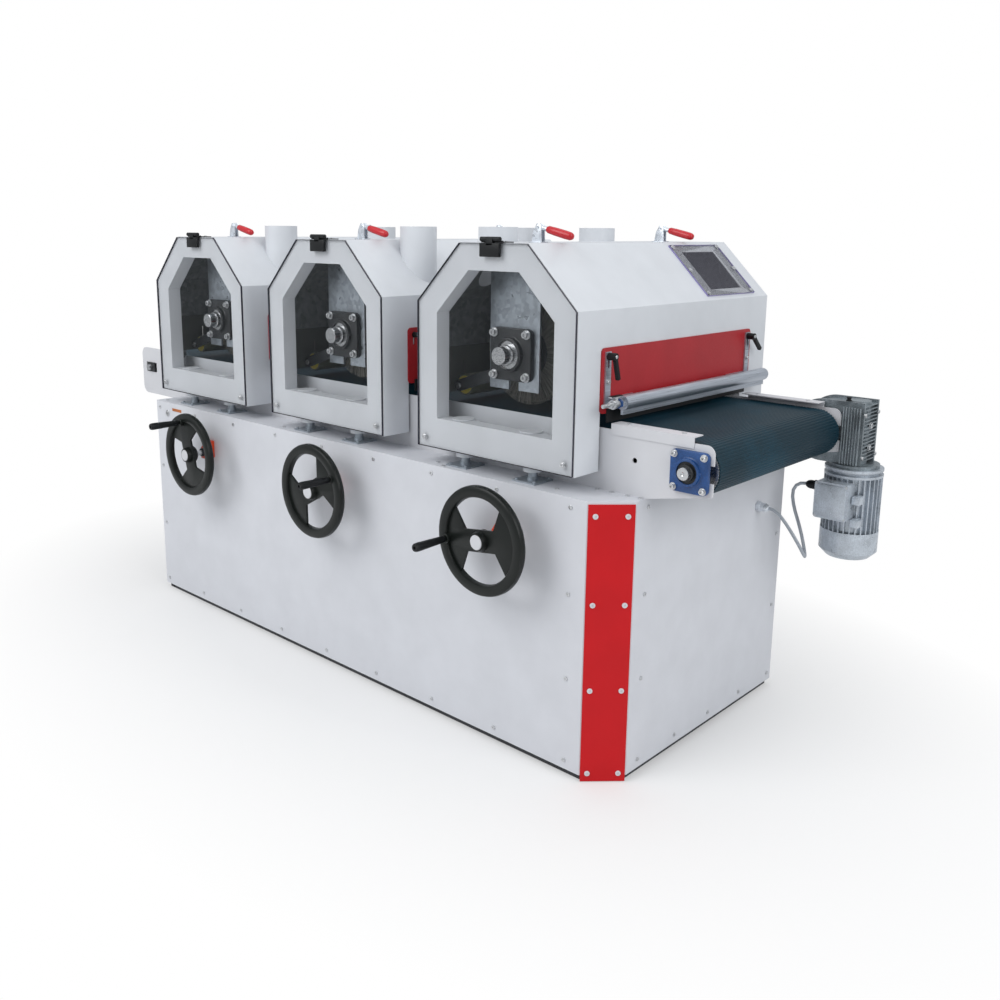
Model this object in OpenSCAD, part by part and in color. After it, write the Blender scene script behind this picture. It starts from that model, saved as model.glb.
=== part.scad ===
// Panel sander: three brush heads standing over a belt conveyor on a closed cabinet.
// Origin on the floor at the middle of the cabinet, +X along the feed, +Y away from the operator, +Z up.

/* [Cabinet] */
// Length of the cabinet along the feed
cab_l = 2440; // [2400:10:2560]
// Depth of the cabinet
cab_d = 1000; // [990:5:1040]
// Height of the deck above the floor
deck_z = 858; // [840:2:900]
// Height of the recessed plinth
plinth_h = 20; // [12:1:30]
// Set-back of the plinth behind the panels
plinth_inset = 12; // [6:1:20]
// Width of the plinth's beams
plinth_beam = 60; // [40:5:90]
// Thickness of the cabinet's sheet
panel_t = 3; // [2:0.5:4]
// Chamfer of the corner at the outfeed end
corner_c = 100; // [80:5:120]
// Depth of the deck's folded skirt
skirt_h = 40; // [20:5:60]
// Width of the coloured corner plate
corner_plate_w = 133; // [100:1:136]
// Thickness of the corner plate
corner_plate_t = 3; // [2:0.5:5]
// Step from the deck down to the top of the corner plate
corner_drop = 9; // [4:1:20]
// Gap between the floor and the corner plate
corner_foot = 2; // [1:1:10]

/* [Conveyor] */
// Distance over the outer faces of the side plates
conv_w = 800; // [790:2:810]
// Offset of the conveyor's middle from the cabinet's middle
conv_y = 38; // [30:1:45]
// Thickness of the side plates
plate_t = 5; // [4:0.5:6]
// Gap between the belt's edge and a side plate
belt_gap = 20; // [16:1:26]
// Thickness of the belt
belt_t = 3; // [2:0.5:4]
// Radius inside the belt where it turns
belt_r = 72; // [68:1:76]
// Distance of the drive roller from the cabinet's middle
drive_x = 1362; // [1340:2:1380]
// Distance of the idler roller from the cabinet's middle
idler_x = 1500; // [1480:2:1510]
// Height of the roller axes above the deck
axis_h = 104; // [100:1:110]
// Height of a side plate above the roller axis
plate_up = 78; // [70:1:84]
// Length of a side plate past the drive roller's axis
plate_out = 68; // [62:1:76]
// Depth of a side plate below the axis at its outfeed end
plate_down = 61; // [58:1:66]
// Radius of the side plate's upper corner
plate_r = 25; // [15:1:30]
// Length of the infeed nose past the idler's axis
nose_out = 80; // [76:1:90]
// Height of the infeed nose above the axis
nose_up = 88; // [82:1:94]
// Depth of the infeed nose below the axis
nose_down = 124; // [110:2:130]
// Corner radius of the infeed nose
nose_r = 35; // [20:1:45]
// Thickness of the sheet of the slider bed
bed_t = 4; // [3:0.5:6]
// Height of the bed's cross channels
bed_rib_h = 60; // [40:2:76]
// Width of the bed's cross channels
bed_rib_w = 50; // [30:2:70]
// Number of cross channels
bed_ribs = 7; // [4:1:10]
// Length of the edge guards
guard_l = 270; // [200:5:300]
// Height of the edge guards above the side plate
guard_up = 18; // [14:1:19]
// Reach of the edge guards over the belt
guard_in = 43; // [30:1:50]
// Height of an edge guard's upright leg
guard_leg = 32; // [28:1:36]
// Thickness of an edge guard
guard_t = 3; // [2:0.5:4]

/* [Rollers and bearings] */
// Radius of the drive shaft
shaft_r = 17.5; // [15:0.5:20]
// Radius of the idler shaft
idler_shaft_r = 12.5; // [10:0.5:15]
// Wall of the roller tubes
roller_wall = 8; // [5:1:12]
// Depth of the recess in a roller's end
roller_recess = 14; // [8:1:20]
// Side of the conveyor's square flange bearing
flange_s = 117; // [112:1:120]
// Bolt spacing of the conveyor's flange bearing
flange_pitch = 92; // [88:1:94]
// Side of the brush's square flange bearing
brush_flange_s = 162; // [156:1:168]
// Bolt spacing of the brush's flange bearing
brush_flange_pitch = 130; // [124:1:134]

/* [Heads] */
// Distance between neighbouring heads
head_pitch = 804; // [780:2:840]
// Offset of the middle head from the cabinet's middle
head_shift = -60; // [-80:2:-40]
// Half width of a hood
hood_w = 316; // [306:1:326]
// Half width of a hood's flat top
hood_top_w = 134; // [120:1:140]
// Gap between the deck and the hood's lower edge
hood_gap = 53; // [50:1:56]
// Height of a hood from its lower edge to its shoulder
hood_side_h = 467; // [450:1:480]
// Thickness of the hood's sheet
hood_t = 3; // [2:0.5:4]
// Set-back of the hood's front behind the cabinet's front
hood_back = 15; // [10:1:20]
// Overhang of the hood behind the cabinet
hood_over = 105; // [90:5:120]
// Clearance between the side plates and the hood's end boxes
box_gap = 8; // [6:1:10]
// Height of the end boxes' inner walls above the side plate
wall_up = 6; // [4:1:10]
// Height of the work passage above the side plates
pass_h = 160; // [120:5:180]
// Border of the front frame at its sides and top
frame_side = 82; // [70:1:90]
// Border of the front frame at its base
frame_base = 98; // [80:1:110]
// Depth of the frame's folded return
frame_return = 55; // [30:1:60]
// Radius of the exhaust spigots
spigot_r = 64; // [55:1:70]
// Wall of the exhaust spigots
spigot_t = 2; // [1.5:0.5:3]
// Distance of the spigots from the head's middle
spigot_x = 215; // [205:1:220]
// Height of the spigots above the roof
spigot_up = 46; // [30:1:60]
// Distance of the front spigots in front of the cabinet's middle
spigot_front = 225; // [200:5:250]
// Distance of the rear spigots behind the cabinet's middle
spigot_rear = 310; // [280:5:340]
// Clear opening of the inspection window along the feed's cross direction
view_l = 202; // [180:2:220]
// Clear opening of the inspection window down the slope
view_w = 168; // [150:2:180]
// Border of the inspection pane at its ends
view_end = 54; // [40:1:60]
// Border of the inspection pane along its sides
view_side = 28; // [20:1:32]
// Middle of the inspection window behind the cabinet's middle
view_y = 372; // [360:2:380]

/* [Brushes] */
// Radius of a brush over its bristles
brush_r = 165; // [150:1:166]
// Radius of the packed part behind the front row
brush_body_r = 157; // [140:1:160]
// Radius at which the bristles start
brush_core_r = 78; // [65:1:90]
// Gap between the brush's ends and the carrier plates
brush_gap = 57; // [50:1:70]
// Radius of the brush's shaft
brush_shaft_r = 27.5; // [25:0.5:30]
// Height of the brush's lowest point above the belt
brush_up = 21; // [20:1:30]
// Offset of the brush's axis from the head's middle
brush_x = -17; // [-25:1:-10]
// Strands in the front row of one brush
strands = 130; // [110:2:150]
// Width of a strand
strand_w = 1.6; // [1.2:0.1:2.2]
// Thickness of the front row
strand_t = 5; // [3:0.5:8]
// Width of a carrier plate
carrier_w = 200; // [186:2:204]
// Thickness of a carrier plate
carrier_t = 8; // [6:0.5:10]
// Depth of a carrier plate below the brush's axis
carrier_down = 112; // [104:1:116]
// Radius of the press roller
press_r = 35; // [28:1:38]
// Radius of the press roller's shaft
press_shaft_r = 10; // [8:0.5:12]
// Offset of the press roller's axis from the head's middle
press_x = -262; // [-266:1:-250]
// Height of the press roller above the belt
press_up = 25; // [22:1:30]

/* [Windows] */
// Thickness of a window pane
pane_t = 5; // [4:0.5:6]
// Thickness of the seal behind a pane
seal_t = 2.7; // [2:0.1:3]
// Width of the seal
seal_w = 6; // [4:1:10]
// Inset of a pane from the hood's outline
pane_inset = 2; // [1:0.5:4]
// Width of the window hinge
hinge_w = 76; // [60:2:90]
// Radius of the hinge's knuckles
knuckle_r = 7; // [6:0.5:8]
// Radius of the hinge pin
hinge_pin_r = 3; // [2.5:0.25:3.5]
// Height of the hinge axis above the roof
hinge_up = 10; // [9:0.5:12]
// Height of the leaf on the pane
leaf_h = 40; // [30:1:50]

/* [Guards and blow bar] */
// Length of a height guard
slab_l = 865; // [850:5:880]
// Height of a height guard
slab_h = 190; // [170:5:200]
// Thickness of a height guard
slab_t = 4; // [3:0.5:5]
// Gap between a guard's lower edge and the belt
slab_up = 43; // [42:1:50]
// Distance of the clamping studs from the guard's middle
stud_y = 406; // [390:2:412]
// Radius of a clamping stud
stud_r = 4; // [3:0.5:4]
// Length of travel of a guard
slab_travel = 30; // [20:1:32]
// Radius of the blow bar
bar_r = 21; // [16:1:22]
// Length of the blow bar
bar_l = 845; // [820:5:860]
// Height of the bar's axis above the belt
bar_up = 76; // [74:1:82]
// Distance of the bar's axis from the hood's side
bar_out = 44; // [38:1:50]

/* [Handwheels] */
// Diameter of a handwheel
wheel_d = 335; // [300:5:340]
// Thickness of the handwheel's rim
rim_d = 26; // [22:1:30]
// Offset of a handwheel's shaft from its head's middle
wheel_x = 72; // [60:2:80]
// Height of a handwheel's shaft above the floor
wheel_z = 698; // [680:2:710]
// Distance of the rim's plane from the cabinet's front
wheel_out = 105; // [95:1:120]
// Radius of a handwheel's shaft
wheel_shaft_r = 10; // [8:0.5:12]
// Radius at which the grip stands
grip_at = 134; // [110:2:136]
// Length of the revolving grip
grip_l = 122; // [90:2:130]
// Largest radius of the grip
grip_r = 14; // [11:1:16]

/* [Gear motor] */
// Distance from the output axis to the worm's axis
worm_c = 95; // [90:1:100]
// Height of the gearbox
gear_h = 206; // [196:2:212]
// Length of the gearbox
gear_l = 238; // [230:2:246]
// Width of the gearbox across its flanges
gear_w = 140; // [130:2:150]
// Radius of the motor over its fins
motor_r = 92; // [86:1:96]
// Length of the finned part of the motor
motor_l = 190; // [170:5:200]
// Length of the fan cover
cowl_l = 85; // [75:5:95]
// Number of cooling fins on the motor
fins = 32; // [24:2:40]
// Diameter of the motor's cable
cable_d = 11; // [9:0.5:12]

/* [Hidden] */
$fn = 48;

// Clearances and the one overrun of all cuts
run_gap = 0.05;
free_gap = 0.3;
over = 1;

// Places worked out from the cabinet
end_x = cab_l / 2;
front_y = -cab_d / 2;
rear_y = cab_d / 2;
panel_h = deck_z - panel_t - plinth_h;
plinth_lip = 30;

// Places worked out from the conveyor
axis_z = deck_z + axis_h;
belt_top = axis_z + belt_r + belt_t;
plate_top = axis_z + plate_up;
plate_y0 = conv_y - conv_w / 2;
plate_y1 = conv_y + conv_w / 2;
plate_x1 = drive_x + plate_out;
inner_w = conv_w - 2 * plate_t;
belt_w = inner_w - 2 * belt_gap;
bed_end_gap = 90;
plate_hole_r = 8;
plate_hole_x = end_x - 40;
slot_extra = 7;
guard_x0 = plate_x1 - 62 - guard_l;
roller_r = belt_r - free_gap;
roller_l = belt_w + 10;
takeup_l = 64;
takeup_h = 44;
takeup_slot = 90;
takeup_t = 18;
shaft_stub = 43;
idler_stub = 20;

// Places worked out from the heads
hood_y0 = front_y + hood_back;
hood_y1 = rear_y + hood_over;
hood_z0 = deck_z + hood_gap;
shoulder_z = hood_z0 + hood_side_h;
roof_z = shoulder_z + hood_w - hood_top_w;
box_y0 = plate_y0 - box_gap;
box_y1 = plate_y1 + box_gap;
pass_z = plate_top + pass_h;
wall_z = plate_top + wall_up;
slope_low = shoulder_z + hood_w - spigot_x - spigot_r - 4 * hood_t;
roof_in = roof_z - hood_t;

// Posts and sleeves that guide a head
post_half = 140;
post_shift = -22;
post_y0 = (hood_y0 + box_y0) / 2;
post_y1 = (plate_y1 + rear_y) / 2;
post_r = 15;
post_top = hood_z0 + 57;
sleeve_r = 30;
rear_sleeve_r = 21;
sleeve_z0 = hood_z0 - 22;
sleeve_top = hood_z0 + 86;
cap_r = 45;
cap_t = 4;
flange_r = 44;
rear_flange_r = 29;
flange_t = 5;
flange_bolt_r = 5;
flange_bolt_h = 5;
collar_r = 18;
collar_h = 14;

// Brush and carrier plates
brush_z = belt_top + brush_up + brush_r;
carrier_y0 = plate_y0 - 3;
carrier_y1 = conv_y * 2 - carrier_y0;
carrier_foot = 40;
carrier_slot_w = 40;
carrier_slot_h = 34;
carrier_hole_r = brush_shaft_r + 8;
brush_y0 = carrier_y0 + carrier_t + brush_gap;
brush_y1 = conv_y * 2 - brush_y0;
brush_stub = 75;
pulley_r = 60;
pulley_w = 36;
pulley_lip = 5;
press_z = belt_top + press_up + press_r;
arm_t = 8;
arm_w = 36;
arm_end_r = 22;
arm_root_x = -70;
arm_root_z = brush_z - 60;
arm_y0 = carrier_y0 + carrier_t;
press_y0 = arm_y0 + arm_t + 20;

// Flange bearings
cast_t_share = 0.12;
cast_hub_share = 0.33;
cast_hub_up_share = 0.1;
insert_share = 0.26;
insert_up_share = 0.17;
cast_round_share = 0.11;
bolt_head_share = 0.07;
washer_share = 0.085;

// Window and its hinge
pane_y1 = hood_y0 - free_gap - seal_t;
pane_y0 = pane_y1 - pane_t;
hinge_y = pane_y0 - 4;
hinge_z = roof_z + hinge_up;
hinge_leaf_t = 3;
hinge_leaf_l = 48;
knuckle_w = 26;
leaf_t = 12;
leaf_top = roof_z - 1;
pane_screw_x = 282;
pane_screw_z = hood_z0 + 34;
pane_screw_r = 7;
pane_screw_h = 5;

// Toggle clamps on the roof
toggle_x = 45;
toggle_front_y = -335;
toggle_rear_y = 325;
toggle_rear_shift = 55;
cheek_t = 3;
cheek_gap = 12;
cheek_w = 34;
cheek_h = 56;
toggle_pin_r = 4;
toggle_pin_x = toggle_x + 6;
toggle_hub_r = 9;
toggle_pin_z = roof_z + 46;
arm_bar_w = 16;
arm_bar_t = 10;
arm_bar_l = 32;
toggle_grip_l = 94;
toggle_grip_r = 11;
toggle_drop = 13;

// Height guards, studs and blow bar
slab_y = conv_y + 20;
slab_z0 = belt_top + slab_up;
slab_x0 = hood_w + free_gap;
slab_r = 14;
stud_z = slab_z0 + slab_h - 24;
slot_r = stud_r + 0.5;
washer_r = 10;
washer_t = 3;
knob_r = 9;
knob_h = 16;
flap_t = 4;
flap_up = 27;
flap_h = 40;
bracket_w = 26;
bracket_t = 5;
bracket_foot = 130;
lip_h = 14;
lip_t = 8;
bar_z = belt_top + bar_up;
bar_x = hood_w + bar_out;
bar_y0 = slab_y - stud_y + 24;
lever_hub_r = 11;
lever_hub_h = 26;
lever_l = 70;
lever_turn_front = 16;
lever_turn_rear = 48;
lever_w = 11;
valve_r = 10;
barb_r = 6;
barb_l = 34;
valve_l = 60;
valve_nut_share = 0.8;

// Handwheels and their indicators
wheel_angles = [106, 29, 188];
wheel_y = front_y - wheel_out;
hub_r = 32;
hub_l = 44;
web_t = 9;
hub_cap_r = 17;
hub_cap_t = 3;
window_r_share = 0.815;
window_near_share = 0.22;
wheel_shaft_in = 60;
grip_pin_r = 5;
grip_boss_r = 15;
grip_boss_h = 16;
grip_neck_share = 0.72;
grip_bulge_share = 0.6;
ind_w = 48;
ind_low = 28;
ind_high = 50;
ind_d = 44;
ind_face = 28;

// Gear motor
gear_x = drive_x + worm_c;
gear_y0 = plate_y1;
gear_flange_r = 62;
gear_flange_t = 12;
gear_plate = 10;
gear_rib = 4;
gear_rib_h = 9;
gear_rib_pitch = 12;
worm_r = 36;
gear_bolt_r = 5;
gear_bolt_at = 52;
gear_y = gear_y0 + gear_w / 2;
gear_z0 = axis_z - gear_h / 2;
motor_core_r = motor_r - 14;
fin_t = 3.5;
collar_up = 12;
shield_t = 8;
neck_h = 28;
motor_z1 = gear_z0 - collar_up - neck_h;
motor_z0 = motor_z1 - motor_l;
cowl_t = 2.5;
cowl_round = 22;
cowl_slot_w = 5;
cowl_slots = 18;
cowl_lap = 8;
tbox_w = 112;
tbox_h = 122;
tbox_d = 52;
tbox_r = 10;
tbox_lip = 5;
tbox_z = motor_z1 - 72;
tbox_x = gear_x - 16;
tbox_y0 = gear_y - motor_r - 38;
fan_r = motor_core_r - 8;
fan_blades = 7;
fan_hub_r = 16;
fan_low = 66;
fan_h = 34;
fan_shaft_in = 25;
fan_shaft_r = 8;

// Cable: leaves the cabinet's gland, hangs in a loop and enters the motor's terminal box
cable_r = cable_d / 2;
cable_sides = 10;
gland_r = 16;
gland_nut_r = 12;
gland_l = 42;
gland_nut_l = 14;
gland_tip_l = 12;
route = [
    [1254, 318, 700], [1276, 318, 698], [1296, 318, 688], [1312, 318, 673], [1328, 318, 656],
    [1343, 318, 638], [1357, 319, 619], [1370, 322, 599], [1379, 328, 580], [1383, 339, 563],
    [1381, 353, 553], [1375, 368, 550], [1367, 383, 554], [1358, 395, 566], [1349, 403, 584],
    [1340, 408, 606], [1330, 411, 630], [1320, 412, 655], [1310, 412, 680], [1302, 412, 705],
    [1297, 412, 730], [1298, 412, 753], [1307, 412, 770], [1322, 412, 780], [1340, 412, 783],
    [1352, 412, 783]
];
route_start = route[0];
route_end = route[len(route) - 1];

// Setting out of heads
function head_x(i) = head_shift + (i - 2) * head_pitch;
function mitre(d) = d * tan(45 / 2);
function spigot_side(i) = i == 3 ? -1 : 1;
function rear_toggle_y(i) = toggle_rear_y + (i == 3 ? 0 : toggle_rear_shift);

// Footprint of the cabinet, set in by d
module footprint(d) {
    polygon([
        [-end_x + d, front_y + d],
        [end_x - corner_c - mitre(d), front_y + d],
        [end_x - d, front_y + corner_c + mitre(d)],
        [end_x - d, rear_y - d],
        [-end_x + d, rear_y - d]
    ]);
}

// Outline of a hood seen from the front, set in by d, with its base set in by b
module hood_outline(d, b) {
    polygon([
        [-hood_w + d, hood_z0 + b],
        [hood_w - d, hood_z0 + b],
        [hood_w - d, shoulder_z - mitre(d)],
        [hood_top_w - mitre(d), roof_z - d],
        [-hood_top_w + mitre(d), roof_z - d],
        [-hood_w + d, shoulder_z - mitre(d)]
    ]);
}

// Outline in X and Z drawn out from y0 over a depth d
module along_y(y0, d) {
    translate([0, y0 + d, 0])
        rotate([90, 0, 0])
            linear_extrude(height = d)
                children();
}

// Outline in Y and Z drawn out from x0 over a length l
module along_x(x0, l) {
    translate([x0, 0, 0])
        rotate([90, 0, 90])
            linear_extrude(height = l)
                children();
}

// Round bar along Y
module bar_y(x, y0, z, r, l) {
    translate([x, y0, z])
        rotate([-90, 0, 0])
            cylinder(r = r, h = l);
}

// Round bar along X
module bar_x_dir(x0, y, z, r, l) {
    translate([x0, y, z])
        rotate([0, 90, 0])
            cylinder(r = r, h = l);
}

// Rectangle with round corners, centred
module round_rect(w, h, r) {
    square([w - 2 * r, h], center = true);
    square([w, h - 2 * r], center = true);
    for (sx = [-1, 1], sy = [-1, 1])
        translate([sx * (w / 2 - r), sy * (h / 2 - r)])
            circle(r = r);
}

// Four-bolt flange bearing on a face, with its axis along -Y, for a shaft of radius r
module flange_bearing(side, pitch, r) {
    cast_t = side * cast_t_share;
    rotate([90, 0, 0]) {
        difference() {
            union() {
                linear_extrude(height = cast_t)
                    round_rect(side, side, side * cast_round_share);
                cylinder(r = side * cast_hub_share, h = cast_t + side * cast_hub_up_share);
                cylinder(r = side * insert_share, h = cast_t + side * insert_up_share);
            }
            translate([0, 0, -over])
                cylinder(r = r + run_gap, h = side);
        }
        for (sx = [-1, 1], sy = [-1, 1])
            translate([sx * pitch / 2, sy * pitch / 2, cast_t]) {
                cylinder(r = side * washer_share, h = side * bolt_head_share / 2);
                cylinder(r = side * bolt_head_share, h = side * bolt_head_share * 2);
            }
    }
}

// Welded plinth frame that the cabinet stands on, with a lip that the panels are screwed to
module plinth() {
    color([0.16, 0.17, 0.18]) {
        linear_extrude(height = plinth_h + plinth_lip) {
            difference() {
                footprint(plinth_inset);
                footprint(plinth_inset + plinth_beam);
            }
            square([plinth_beam, cab_d - 2 * plinth_inset - plinth_beam], center = true);
            square([cab_l - 2 * plinth_inset - plinth_beam, plinth_beam], center = true);
        }
        translate([0, 0, plinth_h])
            linear_extrude(height = plinth_lip)
                difference() {
                    footprint(panel_t);
                    footprint(plinth_inset + over);
                }
    }
}

// Front sheet, folded round the chamfered corner, with a bush hole for each handwheel's shaft
module front_panel() {
    color([0.86, 0.87, 0.9])
        difference() {
            translate([0, 0, plinth_h])
                linear_extrude(height = panel_h)
                    polygon([
                        [-end_x, front_y],
                        [end_x - corner_c, front_y],
                        [end_x, front_y + corner_c],
                        [end_x - panel_t, front_y + corner_c + mitre(panel_t)],
                        [end_x - corner_c - mitre(panel_t), front_y + panel_t],
                        [-end_x, front_y + panel_t]
                    ]);
            for (i = [1:3])
                bar_y(head_x(i) + wheel_x, front_y - over, wheel_z, wheel_shaft_r + run_gap,
                    panel_t + 2 * over);
        }
}

// Sheets at both ends and at the back
module side_panels() {
    color([0.86, 0.87, 0.9]) {
        translate([-end_x, front_y + panel_t, plinth_h])
            cube([panel_t, cab_d - 2 * panel_t, panel_h]);
        translate([-end_x, rear_y - panel_t, plinth_h])
            cube([cab_l, panel_t, panel_h]);
        difference() {
            translate([0, 0, plinth_h])
                linear_extrude(height = panel_h)
                    polygon([
                        [end_x, front_y + corner_c],
                        [end_x, rear_y - panel_t],
                        [end_x - panel_t, rear_y - panel_t],
                        [end_x - panel_t, front_y + corner_c + mitre(panel_t)]
                    ]);
            bar_x_dir(end_x - panel_t - over, route_start[1], route_start[2], gland_nut_r,
                panel_t + 2 * over);
        }
    }
}

// Deck with a folded skirt inside the panels
module top_deck() {
    color([0.88, 0.89, 0.91]) {
        translate([0, 0, deck_z - panel_t])
            linear_extrude(height = panel_t)
                footprint(0);
        translate([0, 0, deck_z - panel_t - skirt_h])
            linear_extrude(height = skirt_h)
                difference() {
                    footprint(panel_t);
                    footprint(2 * panel_t);
                }
    }
}

// Coloured plate over the chamfered corner
module corner_plate() {
    color([0.78, 0.08, 0.12])
        translate([end_x - corner_c / 2, front_y + corner_c / 2, corner_foot])
            rotate([0, 0, 45])
                translate([-corner_plate_w / 2, -corner_plate_t, 0])
                    cube([corner_plate_w, corner_plate_t, deck_z - corner_drop - corner_foot]);
}

// Outline of a side plate, with the slot for the drive shaft and the take-up slot
module side_plate_outline() {
    difference() {
        union() {
            polygon([
                [-end_x - skirt_h, deck_z],
                [end_x, deck_z],
                [plate_x1, axis_z - plate_down],
                [plate_x1, plate_top - plate_r],
                [plate_x1 - plate_r, plate_top - plate_r],
                [plate_x1 - plate_r, plate_top],
                [-end_x - skirt_h, plate_top]
            ]);
            translate([plate_x1 - plate_r, plate_top - plate_r])
                circle(r = plate_r);
            nose();
        }
        translate([drive_x, axis_z])
            circle(r = shaft_r + slot_extra);
        translate([drive_x, axis_z - shaft_r - slot_extra])
            square([plate_out + over, 2 * (shaft_r + slot_extra)]);
        translate([plate_hole_x, axis_z])
            circle(r = plate_hole_r);
        translate([-idler_x, axis_z])
            square([takeup_slot, takeup_h], center = true);
    }
}

// Rounded nose of a side plate round the idler roller
module nose() {
    w = idler_x + nose_out - end_x - panel_t;
    h = nose_up + nose_down;
    translate([-idler_x - nose_out + w / 2, axis_z - nose_down + h / 2])
        round_rect(w, h, nose_r);
    translate([-end_x - panel_t - nose_r, axis_z - nose_down])
        square([nose_r, h]);
}

// Both side plates of the conveyor
module side_plates() {
    color([0.9, 0.91, 0.93])
        for (y = [plate_y0, plate_y1 - plate_t])
            along_y(y, plate_t)
                side_plate_outline();
}

// Folded angles that cover the belt's edges at the outfeed
module edge_guards() {
    z1 = plate_top + guard_up;
    color([0.92, 0.93, 0.94])
        for (s = [-1, 1])
            along_x(guard_x0, guard_l)
                polygon([
                    [conv_y + s * (conv_w / 2 + guard_t), z1],
                    [conv_y + s * (conv_w / 2 + guard_t), z1 - guard_leg],
                    [conv_y + s * conv_w / 2, z1 - guard_leg],
                    [conv_y + s * conv_w / 2, z1 - guard_t],
                    [conv_y + s * (conv_w / 2 - guard_in), z1 - guard_t],
                    [conv_y + s * (conv_w / 2 - guard_in), z1]
                ]);
}

// Slider bed under the belt's upper run, with channels across it
module conveyor_bed() {
    x0 = -idler_x + bed_end_gap;
    l = drive_x - bed_end_gap - x0;
    top = axis_z + belt_r;
    color([0.62, 0.64, 0.66]) {
        translate([x0, conv_y - inner_w / 2, top - bed_t])
            cube([l, inner_w, bed_t]);
        for (k = [0:bed_ribs - 1])
            for (w = [0, bed_rib_w - bed_t])
                translate([x0 + k * (l - bed_rib_w) / (bed_ribs - 1) + w, conv_y - inner_w / 2,
                        top - bed_rib_h])
                    cube([bed_t, inner_w, bed_rib_h]);
    }
}

// Outline of the belt's loop at radius r
module loop_outline(r) {
    for (x = [-idler_x, drive_x])
        translate([x, axis_z])
            circle(r = r, $fn = 96);
    translate([-idler_x, axis_z - r])
        square([idler_x + drive_x, 2 * r]);
}

// Endless belt
module belt() {
    color([0.05, 0.2, 0.24])
        along_y(conv_y - belt_w / 2, belt_w)
            difference() {
                loop_outline(belt_r + belt_t);
                loop_outline(belt_r);
            }
}

// Flange bearing of the drive shaft and take-up blocks of the idler
module roller_bearings() {
    color([0.1, 0.23, 0.42])
        translate([drive_x, plate_y0, axis_z])
            flange_bearing(flange_s, flange_pitch, shaft_r);
    color([0.1, 0.1, 0.11])
        for (y = [plate_y0 - (takeup_t - plate_t) / 2, plate_y1 - plate_t - (takeup_t - plate_t) / 2])
            difference() {
                translate([-idler_x - takeup_l / 2, y, axis_z - takeup_h / 2])
                    cube([takeup_l, takeup_t, takeup_h]);
                bar_y(-idler_x, y - over, axis_z, idler_shaft_r + run_gap, takeup_t + 2 * over);
            }
}

// Roller with recessed ends on a through shaft of radius sr, from s0 to s1
module roller(x, sr, s0, s1) {
    y0 = conv_y - roller_l / 2;
    difference() {
        bar_y(x, y0, axis_z, roller_r, roller_l);
        bar_y(x, y0 - over, axis_z, roller_r - roller_wall, roller_recess + over);
        bar_y(x, y0 + roller_l - roller_recess, axis_z, roller_r - roller_wall, roller_recess + over);
    }
    bar_y(x, s0, axis_z, sr, s1 - s0);
}

// Drive roller, whose shaft runs from its front bearing into the gearbox
module drive_roller() {
    color([0.66, 0.67, 0.69])
        roller(drive_x, shaft_r, plate_y0 - shaft_stub, gear_y0 + gear_w - gear_plate);
}

// Idler roller
module idler_roller() {
    color([0.66, 0.67, 0.69])
        roller(-idler_x, idler_shaft_r, plate_y0 - idler_stub, plate_y1 + idler_stub);
}

// Outline of the gearbox in X and Z, set in by d
module gearbox_outline(d) {
    translate([drive_x, axis_z])
        circle(r = gear_h / 2 - d, $fn = 96);
    translate([drive_x, gear_z0 + d])
        square([gear_l - gear_h / 2 - d, gear_h - 2 * d]);
}

// Worm gearbox on the rear side plate, with a hollow output and ribs on its end
module worm_gearbox() {
    body_y = gear_y0 + gear_flange_t;
    body_w = gear_w - gear_flange_t - gear_plate;
    color([0.72, 0.73, 0.75])
        difference() {
            union() {
                bar_y(drive_x, gear_y0, axis_z, gear_flange_r, gear_w);
                along_y(body_y, body_w)
                    gearbox_outline(gear_plate);
                for (y = [body_y, body_y + body_w - gear_plate])
                    along_y(y, gear_plate)
                        gearbox_outline(0);
                translate([gear_x, gear_y, gear_z0 - collar_up])
                    cylinder(r = worm_r, h = gear_h + collar_up);
                translate([gear_x, gear_y, gear_z0 - collar_up])
                    cylinder(r = motor_core_r, h = collar_up);
                for (z = [gear_z0 + gear_rib_pitch:gear_rib_pitch:gear_z0 + gear_h - gear_rib_pitch])
                    translate([gear_x, body_y, z])
                        cube([gear_l - gear_h / 2 - worm_c, body_w, gear_rib]);
                for (a = [0:45:315])
                    bar_y(drive_x + gear_bolt_at * cos(a), gear_y0 + gear_w, axis_z + gear_bolt_at * sin(a),
                        gear_bolt_r, gear_bolt_r);
            }
            bar_y(drive_x, gear_y0 - over, axis_z, shaft_r + run_gap, gear_w + 2 * over);
        }
}

// Slotted cover over the motor's fan
module fan_cowl() {
    h = cowl_l + cowl_lap;
    translate([gear_x, gear_y, motor_z0 - cowl_l])
        difference() {
            rotate_extrude($fn = 96)
                polygon([
                    [0, 0],
                    [motor_r - cowl_round, 0],
                    [motor_r, cowl_round],
                    [motor_r, h],
                    [motor_r - cowl_t, h],
                    [motor_r - cowl_t, cowl_round + mitre(cowl_t)],
                    [motor_r - cowl_round - mitre(cowl_t), cowl_t],
                    [0, cowl_t]
                ]);
            for (k = [0:cowl_slots - 1])
                rotate([0, 0, k * 360 / cowl_slots])
                    translate([fan_hub_r + cowl_round / 2, -cowl_slot_w / 2, -over])
                        cube([motor_r - fan_hub_r - 2 * cowl_round, cowl_slot_w, cowl_t + 2 * over]);
        }
}

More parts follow.
